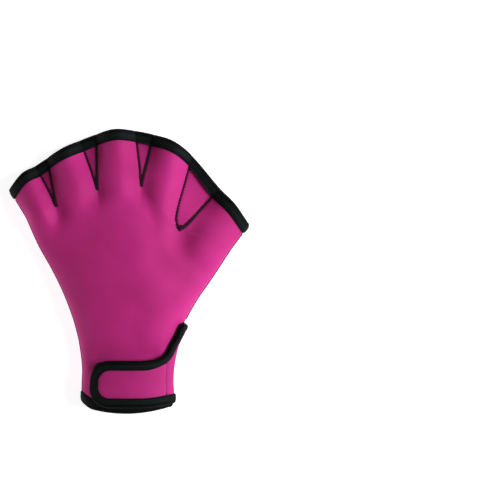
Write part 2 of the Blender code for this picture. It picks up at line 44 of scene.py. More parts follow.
# The cut of the glove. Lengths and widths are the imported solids'. Heights are of the middle of
# the wall, and a little fuller than theirs at the webs.
glove = {
    "length": 227.2 * mm,
    "spread": 193.6 * mm,          # across the finger edge, from its ends
    "wristWidth": 69.0 * mm,
    "wristCentre": -1.9 * mm,
    "wristHeight": 23.5 * mm,
    "handHeight": 31.0 * mm,
    "wristRise": 0.15,             # up to here the back stays as high as at the wrist
    "fullRise": 0.60,              # and here it is highest
    "knuckleHeight": 24.8 * mm,
    "thumbHeight": 22.6 * mm,      # the thumb's base
    "fingerHeight": 17.5 * mm,
    "seamHeight": 8.0 * mm,
    "pointHeight": 18.3 * mm,      # the webs at their points
    "palmPointHeight": 11.0 * mm,
    "domePower": 2.05,
    "valleyLength": 25.0 * mm,     # a web's hollow runs this far down into the hand
    "webRamp": 0.85,               # share of a web's length over which it drops to the mouth
    "hollow": 0.8,                 # how roundly the fingers rise from the webs' points
    "flankRamp": 0.4,              # share of a finger over which its flanks turn crisp
    "sideZone": 0.14,              # share of the width beside the seams, where the rows are even
    "fanStart": 0.35,              # rise from which the columns fan out to the webs' points
    "bowRound": 0.35,              # below 1, the webs' seams bow out mostly near their points
    "swellFade": 9.0 * mm,
    "pressDepth": 0.55 * mm,       # the webs' seams draw the back down
    "pressReach": 2.2 * mm,
    "pressFade": 3.0 * mm,
    "webSag": 0.7 * mm,
    "webSagSpread": 12.0 * mm,
    "rimWidth": 9.0 * mm,          # the palm's edge that curls up to the side seam
    "wall": 2.5 * mm,
    "gap": 0.3 * mm,
    "shoulder": 0.32,              # share of a finger's width in which the palm's side rises
    "flank": 0.9,                  # how crisply the fingers rise beside the webs
    "crown": 0.12,
    "hemBow": 0.0205,              # shares of the length
    "hemCorner": 0.0175,           # the hem's pinky corner is rounded off
    "hemCornerShare": 0.13,
}

# Folded binding tape
binding = {
    "wall": 1.0 * mm,
    "fingerDepth": 7.4 * mm,
    "hemDepth": 7.5 * mm,
    "strapDepth": 5.6 * mm,
    "sweepNarrowing": 0.2,         # the tape is stretched narrower up along the slit
    "fingerReach": 1.7 * mm,       # how far the fold stands out past the neoprene's edge
    "strapReach": 1.9 * mm,
    "foldShare": 0.12,             # share of the depth at which the fold begins to turn
    "waveLength": 17.0 * mm,       # slow change of a hand-guided tape's width
    "shortWave": 7.3 * mm,
    "edgeWaver": 0.035,
    "strapWaver": 0.03,
    "bunch": 0.55,                 # thicker where it crosses the top of a web's seam
    "bunchReach": 1.8 * mm,
    "lapWidth": 1.3 * mm,          # the strap's tape is wider where its ends lap at the tip
    "lapInset": 2.6 * mm,
    "lapLength": 4.0 * mm,
    "margin": 1.0 * mm,
    "liftFade": 8.0 * mm,
    "lid": 0.35 * mm,              # closes a cut end
    "lidShare": 0.93,
    "endRound": 2.5 * mm,
    "endDraw": 1.0 * mm,
}

# The slit at the thumb side of the wrist and the strap that closes it
strap = {
    "slitLength": 71.5 * mm,
    "slitOpening": 2.1 * mm,
    "slitMouth": 3.5 * mm,
    "width": 34.5 * mm,
    "length": 74.6 * mm,
    "inset": 5.3 * mm,
    "corner": 15.0 * mm,
    "lowerRise": 3.5 * mm,
    "ramp": 6.0 * mm,
    "sink": 12.0 * mm,
    "sweepLength": 35.0 * mm,
    "sweepHeight": 30.5 * mm,
    "narrowFade": 12.0 * mm,
    "foldSeam": 14.6 * mm,         # side seam to the cross seam, along the strap
    "foldDip": 0.5 * mm,
    "foldWidth": 0.9 * mm,
    "dipFade": 3.0 * mm,
    "puff": 0.35 * mm,             # how much the face stands up between its tapes
    "puffFade": 5.0 * mm,
    "pinchDepth": 3.2 * mm,        # the closed strap presses the back down at its upper edge
    "pinchHalf": 20.0 * mm,
    "pinchFade": 12.0 * mm,
    "pinchLength": 16.0 * mm,
}

sideStations = np.array((
    # rise, pinky flare, pinky along, thumb flare, thumb along
    (0.00, 0.000, 0.028, 0.000, 0.025),
    (0.11, 0.000, 0.088, -0.003, 0.088),
    (0.23, -0.005, 0.165, 0.008, 0.165),
    (0.36, 0.035, 0.250, 0.060, 0.243),
    (0.43, 0.075, 0.297, 0.120, 0.281),
    (0.49, 0.124, 0.343, 0.170, 0.322),
    (0.61, 0.244, 0.428, 0.320, 0.397),
    (0.73, 0.390, 0.510, 0.463, 0.454),
    (0.85, 0.554, 0.590, 0.600, 0.510),
    (1.00, 0.722, 0.692, 0.762, 0.578),
))
edgeEnds = ((0.928, 0.785), (0.992, 0.663))

webs = (
    # name, wrist, point, left top, right top, left bow, right bow
    ("ring_pinky", 0.16, (-0.298, 0.732), (-0.386, 0.863), (-0.337, 0.891), 0.000, 0.000),
    ("middle_ring", 0.36, (-0.129, 0.790), (-0.201, 0.953), (-0.134, 0.975), 0.000, 0.000),
    ("index_middle", 0.57, (0.053, 0.803), (0.024, 0.987), (0.100, 0.974), 0.000, 0.000),
    ("thumb_index", 0.77, (0.211, 0.648), (0.257, 0.900), (0.370, 0.785), -0.031, 0.012),
)
mouths = (
    # across, along: the middle of each finger's mouth, pinky to thumb
    (-0.437, 0.837),
    (-0.270, 0.926),
    (-0.058, 0.992),
    (0.183, 0.950),
    (0.432, 0.732),
)
strapSweep = np.array((
    # share of the sweep's length from the seam, share of its height
    (0.26, 1.00),
    (0.28, 0.90),
    (0.30, 0.80),
    (0.32, 0.70),
    (0.34, 0.59),
    (0.37, 0.43),
    (0.41, 0.29),
    (0.47, 0.18),
    (0.56, 0.10),
    (0.68, 0.045),
    (0.83, 0.012),
    (1.00, 0.00),
))

halfWall = glove["wall"] / 2
tapeClear = halfWall + glove["gap"]
tapeOut = tapeClear + binding["wall"]
palmLift = binding["wall"] + glove["gap"]
webEdgeHeight = palmLift + halfWall + 2 * tapeOut + glove["gap"]
strapLift = 2 * tapeOut + glove["gap"]           # over the hem's tape
strapLowLift = tapeClear + tapeOut               # over the back itself
fingerZone = binding["fingerDepth"] + binding["margin"]
hemZone = binding["hemDepth"] + binding["margin"]
flare = (glove["spread"] - glove["wristWidth"]) / 2
up = np.array((0.0, 0.0, 1.0))
creaseAngle = math.radians(50)                   # sharper edges than this stay sharp


def smooth(value):
    value = np.clip(value, 0.0, 1.0)
    return value * value * (3 - 2 * value)


def mix(low, high, share):
    return low + (high - low) * share


def unit(vectors):
    size = np.linalg.norm(vectors, axis=-1, keepdims=True)
    return vectors / np.maximum(size, 1e-12)


def flat(x, y):
    return np.stack([x, y, np.zeros_like(x)], axis=-1)


def glovePoint(across, along):
    return np.array((across * glove["spread"], (along - 0.5) * glove["length"], 0.0))


def chain(places, points, place):
    # a smooth curve through points that stand at the given places
    places = np.asarray(places, float)
    points = np.asarray(points, float)
    place = np.asarray(place, float)
    last = len(places) - 1
    low = np.maximum(np.arange(last + 1) - 1, 0)
    high = np.minimum(np.arange(last + 1) + 1, last)
    run = places[high] - places[low]
    step = np.clip(np.searchsorted(places, place) - 1, 0, last - 1)
    span = places[step + 1] - places[step]
    t = (place - places[step]) / span
    if points.ndim > 1:
        run, span, t = run[:, None], span[..., None], t[..., None]
    slopes = (points[high] - points[low]) / run
    start = points[step] * (2 * t ** 3 - 3 * t ** 2 + 1)
    end = points[step + 1] * (3 * t ** 2 - 2 * t ** 3)
    leave = slopes[step] * span * (t ** 3 - 2 * t ** 2 + t)
    arrive = slopes[step + 1] * span * (t ** 3 - t ** 2)
    return start + leave + arrive + end


def sideX(share, side):
    return glove["wristCentre"] + side * (glove["wristWidth"] / 2 + share * flare)


rises = sideStations[:, 0]
pinkySide = flat(sideX(sideStations[:, 1], -1), (sideStations[:, 2] - 0.5) * glove["length"])
thumbSide = flat(sideX(sideStations[:, 3], 1), (sideStations[:, 4] - 0.5) * glove["length"])


def edgeKnots():
    # the finger edge's points, pinky to thumb, three to a finger and web
    ends = []
    for side, (share, along) in zip((-1, 1), edgeEnds):
        ends.append(np.array((sideX(share, side), (along - 0.5) * glove["length"], 0.0)))
    knots = [ends[0]]
    for number, mouth in enumerate(mouths):
        knots.append(glovePoint(*mouth))
        if number < len(webs):
            knots.append(glovePoint(*webs[number][3]))
            knots.append(glovePoint(*webs[number][4]))
    return np.array(knots + [ends[1]])


edgeLine = edgeKnots()
edgePlaces = np.concatenate([[0.0], np.cumsum(np.linalg.norm(np.diff(edgeLine, axis=0), axis=1))])


def edgePoint(kind, number, share):
    # where a column meets the finger edge
    position = 3 * number + 2 * share if kind == "finger" else 3 * number + 2 + share
    knot = min(int(position), len(edgeLine) - 2)
    place = mix(edgePlaces[knot], edgePlaces[knot + 1], position - knot)
    return chain(edgePlaces, edgeLine, place)


def handPoint(share, rise):
    # between the side seams, at a share across and a rise up the hand
    share, rise = np.broadcast_arrays(np.asarray(share, float), np.asarray(rise, float))
    left = chain(rises, pinkySide, rise)
    right = chain(rises, thumbSide, rise)
    point = left + (right - left) * share[..., None]
    bow = glove["hemBow"] * 4 * share * (1 - share)
    corner = glove["hemCorner"] * np.maximum(1 - share / glove["hemCornerShare"], 0.0) ** 2
    point[..., 1] += (corner - bow) * glove["length"] * (1 - smooth(rise / rises[2]))
    return point


handSpan = np.linalg.norm(handPoint(0.5, 1.0) - handPoint(0.5, 0.0))
strapMiddleY = handPoint(0.5, 0.0)[1] + strap["inset"] + strap["width"] / 2


def slitShare(rise):
    # how far the back stands off from the side seam along the slit
    opened = smooth((strap["slitLength"] - rise * handSpan) / strap["slitMouth"])
    return opened * strap["slitOpening"] / glove["wristWidth"]


def domeHeight(share, rise):
    # the back's middle over the hand, at a share across and a rise up it
    low, full = glove["wristRise"], glove["fullRise"]
    toHand = mix(glove["wristHeight"], glove["handHeight"], smooth((rise - low) / (full - low)))
    toKnuckle = mix(glove["handHeight"], glove["knuckleHeight"], smooth((rise - full) / (1 - full)))
    top = np.where(rise < full, toHand, toKnuckle)
    power = glove["domePower"]
    roundShare = (1 - np.abs(2 * np.clip(share, 0, 1) - 1) ** power) ** (1 / power)
    return glove["seamHeight"] + glove["gap"] / 2 + (top - glove["seamHeight"]) * roundShare


def webHeight(forward, pointHeight=glove["pointHeight"]):
    # a web's middle, which drops from its point to the finger edge
    return mix(pointHeight, webEdgeHeight, smooth(forward / glove["webRamp"]))


def fingerHeight(number, share, forward):
    # the back's middle over a finger, arched between its two seams
    low = webHeight(forward)
    seam = glove["seamHeight"] + glove["gap"] / 2
    power = glove["domePower"]
    base = glove["thumbHeight"] if number == len(mouths) - 1 else glove["knuckleHeight"]
    top = mix(base, glove["fingerHeight"], smooth(forward))
    crown = (1 + glove["crown"] * (1 - (2 * share - 1) ** 2)) / (1 + glove["crown"])
    bases, sides = [], []
    for outer, q in ((number == 0, share), (number == len(mouths) - 1, 1 - share)):
        bases.append(seam if outer else low)
        half = min(2 * q, 1.0)
        roundSide = (1 - (1 - half) ** power) ** (1 / power)
        crisp = math.sin(math.pi / 2 * half)
        crispness = glove["flank"] * smooth(forward / glove["flankRamp"])
        inner = mix(smooth(half) ** glove["hollow"], crisp, crispness)
        sides.append(roundSide if outer else inner)
    base = mix(bases[0], bases[1], share)
    return base + (top - base) * sides[0] * sides[1] * crown


# Where the walls have their rows and columns of points; they crowd at the seams
grid = {
    "handRows": 78,
    "fingerRows": 40,
    "edgeRows": 6,
    "seamShares": (0, .012, .026, .043, .063, .087, .115, .147, .183, .223, .267, .315, .37, .43),
    "webShares": (0.04, 0.12, 0.25, 0.42, 0.58, 0.75, 0.88, 0.96),
    "settle": 2.6 * mm,            # a wall turns from its seam to its own slope within this
}


def columnList():
    half = list(grid["seamShares"])
    shares = half + [0.5] + [1 - share for share in reversed(half)]
    columns = []
    for number in range(len(mouths)):
        columns += [("finger", number, share) for share in shares]
        if number < len(webs):
            columns += [("web", number, share) for share in grid["webShares"]]
    return columns


columns = columnList()
handPlaces = np.linspace(0, 1, grid["handRows"])
fingerPlaces = np.linspace(0, 1, grid["fingerRows"] + 1)[1:] ** 1.4
edgeShares = np.linspace(0, 1, grid["edgeRows"] + 1)[1:]
inHand = np.arange(grid["handRows"] + grid["fingerRows"] + grid["edgeRows"]) < grid["handRows"]
handPlace = np.concatenate([handPlaces, np.ones(len(fingerPlaces) + len(edgeShares))])
pointRow = grid["handRows"] - 1
valley = smooth((handPlace - 1) * handSpan / glove["valleyLength"] + 1)
slitRow = int(strap["slitLength"] / handSpan * grid["handRows"])


# across the wrist, and across the hand through the points of the webs
wristStops = [0.0] + [web[1] for web in webs] + [1.0]
pointStops = [pinkySide[-1]] + [glovePoint(*web[2]) for web in webs] + [thumbSide[-1]]


def between(stops, kind, number, share):
    return stops[number + 1] if kind == "web" else mix(stops[number], stops[number + 1], share)


def seamBow(number, side):
    # a seam bows out at its web's bottom: the left one towards the web before, the right one across
    point, left, right = webs[number][2], webs[number][5], webs[number][6]
    if side > 0 or number == 0:
        return np.array((right * glove["spread"], 0.0, 0.0))
    return unit(glovePoint(*webs[number - 1][2]) - glovePoint(*point)) * -left * glove["spread"]


def webBow(kind, number, share):
    if kind == "web":
        return mix(seamBow(number, -1), seamBow(number, 1), share)
    bow = np.zeros(3)
    if number > 0:
        bow += seamBow(number - 1, 1) * (1 - share) ** 3
    if number < len(webs):
        bow += seamBow(number, -1) * share ** 3
    return bow


def planColumn(column):
    # a column's points from above, hem to finger edge, and how far forward each is
    kind, number, share = column
    across = between(wristStops, *column)
    base = between(pointStops, *column)
    edge = edgePoint(*column)
    zone = fingerZone / np.linalg.norm(edge - base)
    forward = np.concatenate([np.zeros(len(handPlaces)), fingerPlaces * (1 - zone),
                              1 - (1 - edgeShares) * zone])
    pull = smooth((handPlace - glove["fanStart"]) / (1 - glove["fanStart"]))[:, None]
    hand = handPoint(across, handPlace) + (base - handPoint(across, 1.0)) * pull
    finger = base + (edge - base) * forward[:, None]
    finger += webBow(*column) * np.sin(math.pi * forward ** glove["bowRound"])[:, None]
    return np.where(inHand[:, None], hand, finger), forward


def swell(point):
    # the slow unevenness of a padded wall that has been handled
    waves = (
        # length in mm, direction in degrees, start in degrees, height in mm
        (47, 20, 10, 0.26),
        (33, 75, 150, 0.20),
        (25, 130, 40, 0.14),
        (19, 50, 260, 0.08),
    )
    height = 0.0
    for length, direction, start, size in waves:
        turn = math.radians(direction)
        along = point[..., 0] * math.cos(turn) + point[..., 1] * math.sin(turn)
        height = height + size * mm * np.sin(along * math.tau / (length * mm) + math.radians(start))
    return height


def strapPinch(point):
    # the back sinks a little where the closed strap's upper edge presses it
    away = np.abs(point[..., 0] - glove["wristCentre"]) - strap["pinchHalf"]
    above = point[..., 1] - (strapMiddleY + strap["width"] / 2)
    share = 1 - smooth(away / strap["pinchFade"])
    share = share * (1 - smooth(above / strap["pinchLength"]))
    share = share * smooth((above + strap["pinchLength"]) / strap["pinchFade"])
    return strap["pinchDepth"] * share


plans = [planColumn(column) for column in columns]
planPoints = np.array([plan[0] for plan in plans])
forwards = np.array([plan[1] for plan in plans])


def seamDistances():
    # how far each point lies from the nearest web seam in its row
    distances = np.full(planPoints.shape[:2], 1.0)
    for number in range(len(webs)):
        for kind, finger, share in (("finger", number, 1), ("finger", number + 1, 0)):
            seam = planPoints[columns.index((kind, finger, share))]
            gap = np.linalg.norm(planPoints - seam, axis=-1)
            distances = np.minimum(distances, gap)
    return distances


seamAway = seamDistances()


def openPlace(points):
    # each point's share across the hand, its rise and how far it lies below a smooth line
    # through the webs' points, all free of the kinks that the rows have there
    stops = np.array(pointStops)
    stopShares = (stops[:, 0] - stops[0, 0]) / (stops[-1, 0] - stops[0, 0])
    rise = np.broadcast_to(handPlace, points.shape[:2])
    for _ in range(10):                              # the rise settles in ten rounds
        left = chain(rises, pinkySide[:, 0], rise)
        right = chain(rises, thumbSide[:, 0], rise)
        share = np.clip((points[..., 0] - left) / (right - left), 0, 1)
        top = chain(stopShares, stops[:, 1], share)
        hem = handPoint(share, 0.0)[..., 1]
        rise = np.clip((points[..., 1] - hem) / (top - hem), 0, 1)
    return share, rise, top - points[..., 1]


def backPoints():
    # the middle of the back's wall
    points = planPoints.copy()
    left = chain(rises, pinkySide[:, 0], handPlace)
    right = chain(rises, thumbSide[:, 0], handPlace)
    inset = slitShare(handPlace)
    openShare, openRise, below = openPlace(points)
    ridge = smooth(1 - below / glove["valleyLength"])
    for c, (kind, number, share) in enumerate(columns):
        point = points[c]
        across = (point[:, 0] - left) / (right - left)
        point[:, 0] = np.where(inHand, mix(left, right, across * (1 - inset)), point[:, 0])
        inner = smooth(np.minimum(across, 1 - across) / glove["sideZone"])
        domeShare = np.where(inHand, mix(across, openShare[c], inner), openShare[c])
        domeRise = np.where(inHand, mix(handPlace, openRise[c], inner), openRise[c])
        dome = domeHeight(domeShare * (1 - inset), domeRise)
        if kind == "web":
            over = webHeight(forwards[c])
        else:
            over = fingerHeight(number, share, forwards[c])
        point[:, 2] = mix(dome, over, ridge[c])
    sideFade = smooth((points[..., 2] - glove["seamHeight"]) / glove["swellFade"])
    points[..., 2] += swell(points) * sideFade - strapPinch(points) * sideFade
    press = glove["pressDepth"] * (1 - smooth(seamAway / glove["pressReach"]))
    points[..., 2] -= press * smooth((handPlace - 1) * handSpan / glove["pressFade"] + 1)
    return points


def palmPoints():
    # flat on the surface, rising under the webs and curling up to the side seams
    points = planPoints.copy()
    lastRow = points[:, -1]
    for c, (kind, number, share) in enumerate(columns):
        fromHem = handPlace * handSpan
        fromEdge = np.linalg.norm(lastRow[c] - points[c], axis=-1)
        lift = np.where(inHand, 1 - smooth((fromHem - hemZone) / binding["liftFade"]),
                        1 - smooth((fromEdge - fingerZone) / binding["liftFade"]))
        nearEdge = 1 - smooth((fingerZone + binding["liftFade"] - fromEdge) / binding["liftFade"])
        height = halfWall + palmLift * lift
        rise = 1.0
        if kind == "finger":
            leftRise = 0.0 if number == 0 else 1 - smooth(share / glove["shoulder"])
            rightRise = 1 - smooth((1 - share) / glove["shoulder"])
            rise = max(leftRise, 0.0 if number == len(mouths) - 1 else rightRise)
        under = webHeight(forwards[c], glove["palmPointHeight"]) - glove["wall"] - glove["gap"]
        height = height + np.maximum(under - height, 0) * rise * np.where(inHand, valley, nearEdge)
        for side in (planPoints[0], planPoints[-1]):
            away = np.linalg.norm(points[c] - side, axis=-1)
            fromSide = np.minimum(away / glove["rimWidth"], 1.0)
            curl = 1 - np.sqrt(1 - (1 - fromSide) ** 2)
            height += (glove["seamHeight"] - glove["gap"] / 2 - height) * curl
        points[c, :, 2] = height
    return points


def spotsOf(points):
    # columns that run together share one number for each point
    keys = np.round(points.reshape(-1, 3) / 1e-6).astype(np.int64)
    _, first, spot = np.unique(keys, axis=0, return_index=True, return_inverse=True)
    return first, spot.reshape(points.shape[:2])


def wallNormals(points, outward, freeRows):
    # the way that a wall's thickness runs: level at the side seams, upright at the webs' seams
    a, b, c, d = points[:-1, :-1], points[1:, :-1], points[1:, 1:], points[:-1, 1:]
    faces = np.cross(c - a, d - b).reshape(-1, 3)
    first, spot = spotsOf(points)
    sums = np.zeros((len(first), 3))
    for corner in (spot[:-1, :-1], spot[1:, :-1], spot[1:, 1:], spot[:-1, 1:]):
        np.add.at(sums, corner.ravel(), faces)
    normals = unit(sums[spot])
    turned = smooth(seamAway / grid["settle"])
    turned = 1 - (1 - turned) * valley
    normals = unit(mix(up, normals, turned[..., None]))
    for c, side in ((0, -1), (-1, 1)):
        along = np.gradient(points[c], axis=0)
        out = unit(flat(along[:, 1], -along[:, 0])) * side * outward
        rows = slice(freeRows if side > 0 else 0, None)
        normals[c, rows] = out[rows]
    return normals


def newPiece(name, vertices, faces, material, slotName, nodes=(), uvs=None):
    mesh = bpy.data.meshes.new(name)
    spots = np.array(vertices, float)
    spots[:, 2] = np.maximum(spots[:, 2], 0.0)       # nothing sinks into the table
    mesh.from_pydata([tuple(v) for v in spots], [], [tuple(face) for face in faces])
    mesh.validate()
    mesh.polygons.foreach_set("use_smooth", [True] * len(mesh.polygons))
    if uvs is not None:
        layer = mesh.uv_layers.new(name="run")
        corners = np.zeros(len(mesh.loops), np.int32)
        mesh.loops.foreach_get("vertex_index", corners)
        layer.data.foreach_set("uv", np.asarray(uvs, float)[corners].ravel())
    mesh.set_sharp_from_angle(angle=creaseAngle)
    mesh.materials.append(material)
    piece = bpy.data.objects.new(name, mesh)
    bpy.context.scene.collection.objects.link(piece)
    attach(piece, "root")
    if nodes:
        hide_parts(*nodes)
    return piece


def thickSheet(name, points, normals, kept, material, slotName, node):
    # a wall of even thickness round its middle points, closed along its free edges
    first, spot = spotsOf(points)
    middles = points.reshape(-1, 3)[first]
    turns = normals.reshape(-1, 3)[first]
    count = len(middles)
    faces = []
    for c, r in zip(*np.nonzero(kept)):
        ring = (spot[c, r], spot[c + 1, r], spot[c + 1, r + 1], spot[c, r + 1])
        face = [ring[k] for k in range(4) if ring[k] != ring[k - 1]]
        if len(face) > 2:
            faces.append(face)
    solid = faces + [[v + count for v in reversed(face)] for face in faces]
    edges = {(a, b) for face in faces for a, b in zip(face, face[1:] + face[:1])}
    for a, b in sorted(edges):
        if (b, a) not in edges:
            solid.append([b, a, a + count, b + count])
    vertices = np.concatenate([middles + turns * halfWall, middles - turns * halfWall])
    used = sorted({v for face in solid for v in face})
    place = {v: k for k, v in enumerate(used)}
    solid = [[place[v] for v in face] for face in solid]
    return newPiece(name, vertices[used], solid, material, slotName, [node])


def runOf(points):
    return np.concatenate([[0.0], np.cumsum(np.linalg.norm(np.diff(points, axis=0), axis=1))])


def resample(points, spacing, *others):
    # even spacing along a path, with other values kept in step
    run = runOf(points)
    count = max(int(round(run[-1] / spacing)), 1)
    places = np.linspace(0, run[-1], count + 1)
    moved = []
    for values in (points, *others):
        values = np.asarray(values, float)
        moved.append(np.stack([np.interp(places, run, values[:, k])
                               for k in range(values.shape[1])], axis=-1))
    return moved


def ringFaces(rings, sides):
    # quads between closed rings of points
    faces = []
    for ring in range(rings - 1):
        for k in range(sides):
            after = (k + 1) % sides
            faces.append((ring * sides + k, ring * sides + after,
                          (ring + 1) * sides + after, (ring + 1) * sides + k))
    return faces


def tube(points, normals, radii, sides=6):
    # a round thread along a path; its ends are closed
    along = unit(np.gradient(points, axis=0))
    across = unit(np.cross(along, normals))
    rise = unit(np.cross(across, along))
    turns = np.arange(sides) * math.tau / sides
    ring = across[:, None] * np.cos(turns)[None, :, None] + rise[:, None] * np.sin(turns)[None, :, None]
    vertices = (points[:, None] + ring * np.asarray(radii)[:, None, None]).reshape(-1, 3)
    faces = ringFaces(len(points), sides)
    faces.append(tuple(range(sides)))
    last = (len(points) - 1) * sides
    faces.append(tuple(last + k for k in reversed(range(sides))))
    return vertices, faces


def joined(parts):
    vertices, faces, count = [], [], 0
    for points, rings in parts:
        vertices.append(points)
        faces += [tuple(v + count for v in face) for face in rings]
        count += len(points)
    return np.concatenate(vertices), faces


# Materials

def linear(code):
    # sRGB hex to Blender's linear colour
    parts = [int(code[k:k + 2], 16) / 255 for k in (1, 3, 5)]
    return tuple(p / 12.92 if p <= 0.04045 else ((p + 0.055) / 1.055) ** 2.4 for p in parts) + (1.0,)


def addNode(tree, kind, settings=None, links=None):
    node = tree.nodes.new(kind)
    for name, value in (settings or {}).items():
        if isinstance(name, int) or name in node.inputs:
            node.inputs[name].default_value = value
        else:
            setattr(node, name, value)
    for name, source in (links or {}).items():
        tree.links.new(source, node.inputs[name])
    return node


def newMaterial(name, settings):
    material = bpy.data.materials.new(name)
    material.use_nodes = True
    tree = material.node_tree
    shader = tree.nodes["Principled BSDF"]
    for socket, value in settings.items():
        shader.inputs[socket].default_value = value
    return material, tree, shader


waveUnit = 0.314                   # a wave texture of scale 1 repeats at this length

jersey = {
    "wale": 1.15 * mm,             # rows of loops, real 0.45 mm, drawn to show
    "waleDepth": 0.05 * mm,
    "fuzz": 0.7 * mm,
    "fuzzDepth": 0.10 * mm,
    "patch": 38 * mm,              # slow change of shade in the dye
}


def jerseyNeoprene(name, lightHex, darkHex, sheenHex, bands):
    # Nylon jersey laminated on foam rubber: matt and even, with a soft bloom where it turns
    # away and fine rows of loops that run from the wrist to the fingers
    material, tree, shader = newMaterial(name, {
        "Roughness": 0.7, "IOR": 1.5, "Specular IOR Level": 0.16,
        "Sheen Weight": 0.16, "Sheen Roughness": 0.4, "Sheen Tint": linear(sheenHex)})
    place = addNode(tree, "ShaderNodeTexCoord")
    patch = addNode(tree, "ShaderNodeTexNoise", {"Scale": 1 / jersey["patch"], "Detail": 2.0},
                    {"Vector": place.outputs["Object"]})
    fuzz = addNode(tree, "ShaderNodeTexNoise", {"Scale": 1 / jersey["fuzz"], "Detail": 3.0,
                                                "Roughness": 0.65},
                   {"Vector": place.outputs["Object"]})
    blend = addNode(tree, "ShaderNodeMath", {"operation": "MULTIPLY_ADD", 1: 0.55},
                    {0: fuzz.outputs["Fac"], 2: patch.outputs["Fac"]})
    share = addNode(tree, "ShaderNodeMapRange", {"From Min": 0.45, "From Max": 1.1},
                    {"Value": blend.outputs["Value"]})
    colour = addNode(tree, "ShaderNodeMix", {"data_type": "RGBA", 6: linear(darkHex),
                                             7: linear(lightHex)},
                     {0: share.outputs["Result"]})
    # the loops are too fine to show at their real width, so they are drawn wider
    wales = addNode(tree, "ShaderNodeTexWave",
                    {"Scale": waveUnit / jersey["wale"], "Distortion": 1.2,
                     "Detail": 2.0, "Detail Scale": 3.0, "bands_direction": bands},
                    {"Vector": place.outputs["Object"]})
    ribs = addNode(tree, "ShaderNodeBump", {"Strength": 0.35, "Distance": jersey["waleDepth"]},
                   {"Height": wales.outputs["Fac"]})
    bump = addNode(tree, "ShaderNodeBump", {"Strength": 0.5, "Distance": jersey["fuzzDepth"]},
                   {"Height": fuzz.outputs["Fac"], "Normal": ribs.outputs["Normal"]})
    rough = addNode(tree, "ShaderNodeMapRange", {"To Min": 0.60, "To Max": 0.74},
                    {"Value": fuzz.outputs["Fac"]})
    tree.links.new(colour.outputs[2], shader.inputs["Base Color"])
    tree.links.new(rough.outputs["Result"], shader.inputs["Roughness"])
    tree.links.new(bump.outputs["Normal"], shader.inputs["Normal"])
    return material


tapeWeave = {
    "rib": 1.3 * mm,               # the tape's cross ribs, real 0.5 mm, drawn to show
    "ribDepth": 0.09 * mm,
    "grain": 0.5 * mm,
    "width": 7.4 * mm,             # fold to inner edge, as the pattern counts it
    # the painted shade at the fold and at the sewn edge fades out between these
    "shadeFadeStart": 0.2 * mm,
    "shadeFadeShare": 0.42,
}

twist = 0.9 * mm                   # a thread's twist


def wovenTape(name, faceHex, grooveShadeHex, edgeShadeHex):
    # Woven polyester tape, near black with a green cast: matt ribs across it, shade painted in
    # their grooves, and painted shade at the fold and at the sewn edge that leaves the middle paler
    material, tree, shader = newMaterial(name, {
        "Roughness": 0.6, "IOR": 1.5, "Specular IOR Level": 0.05,
        "Sheen Weight": 0.01, "Sheen Roughness": 0.4, "Sheen Tint": linear("#7E9A90")})
    place = addNode(tree, "ShaderNodeUVMap", {"uv_map": "run"})
    ribs = addNode(tree, "ShaderNodeTexWave",
                   {"Scale": waveUnit / tapeWeave["rib"], "Distortion": 0.6, "Detail": 1.0,
                    "bands_direction": "X"},
                   {"Vector": place.outputs["UV"]})
    grain = addNode(tree, "ShaderNodeTexNoise", {"Scale": 1 / tapeWeave["grain"], "Detail": 2.0},
                    {"Vector": place.outputs["UV"]})
    both = addNode(tree, "ShaderNodeMath", {"operation": "MULTIPLY_ADD", 1: 0.6},
                   {0: grain.outputs["Fac"], 2: ribs.outputs["Fac"]})
    # painted shade in the grooves between the ribs
    colour = addNode(tree, "ShaderNodeMix", {"data_type": "RGBA", 6: linear(grooveShadeHex),
                                             7: linear(faceHex)},
                     {0: ribs.outputs["Fac"]})
    parts = addNode(tree, "ShaderNodeSeparateXYZ", links={0: place.outputs["UV"]})
    fromEdge = addNode(tree, "ShaderNodeMath", {"operation": "PINGPONG", 1: tapeWeave["width"] / 2},
                       {0: parts.outputs["Y"]})
    # painted shade at the fold and at the sewn edge, none towards the middle
    unshadedShare = addNode(tree, "ShaderNodeMapRange",
                     {"interpolation_type": "SMOOTHSTEP", "From Min": tapeWeave["shadeFadeStart"],
                      "From Max": tapeWeave["shadeFadeShare"] * tapeWeave["width"]},
                     {"Value": fromEdge.outputs["Value"]})
    edgeShaded = addNode(tree, "ShaderNodeMix", {"data_type": "RGBA", 6: linear(edgeShadeHex)},
                   {0: unshadedShare.outputs["Result"], 7: colour.outputs[2]})
    bump = addNode(tree, "ShaderNodeBump", {"Strength": 0.6, "Distance": tapeWeave["ribDepth"]},
                   {"Height": both.outputs["Value"]})
    tree.links.new(edgeShaded.outputs[2], shader.inputs["Base Color"])
    tree.links.new(bump.outputs["Normal"], shader.inputs["Normal"])
    return material


def spunThread(name, lightHex, darkHex):
    # Spun polyester thread: fine twist, matt
    material, tree, shader = newMaterial(name, {
        "Roughness": 0.6, "IOR": 1.5, "Specular IOR Level": 0.3})
    place = addNode(tree, "ShaderNodeTexCoord")
    fibre = addNode(tree, "ShaderNodeTexNoise", {"Scale": 1 / twist, "Detail": 1.0},
                    {"Vector": place.outputs["Object"]})
    colour = addNode(tree, "ShaderNodeMix", {"data_type": "RGBA", 6: linear(darkHex),
                                             7: linear(lightHex)},
                     {0: fibre.outputs["Fac"]})
    tree.links.new(colour.outputs[2], shader.inputs["Base Color"])
    return material


def paleFloor(name):
    # A pale matt light table, evenly lit
    return newMaterial(name, {
        "Base Color": linear("#DADADA"), "Roughness": 0.9, "Specular IOR Level": 0.1,
        "Emission Color": linear("#FFFFFF"), "Emission Strength": 0.82})[0]


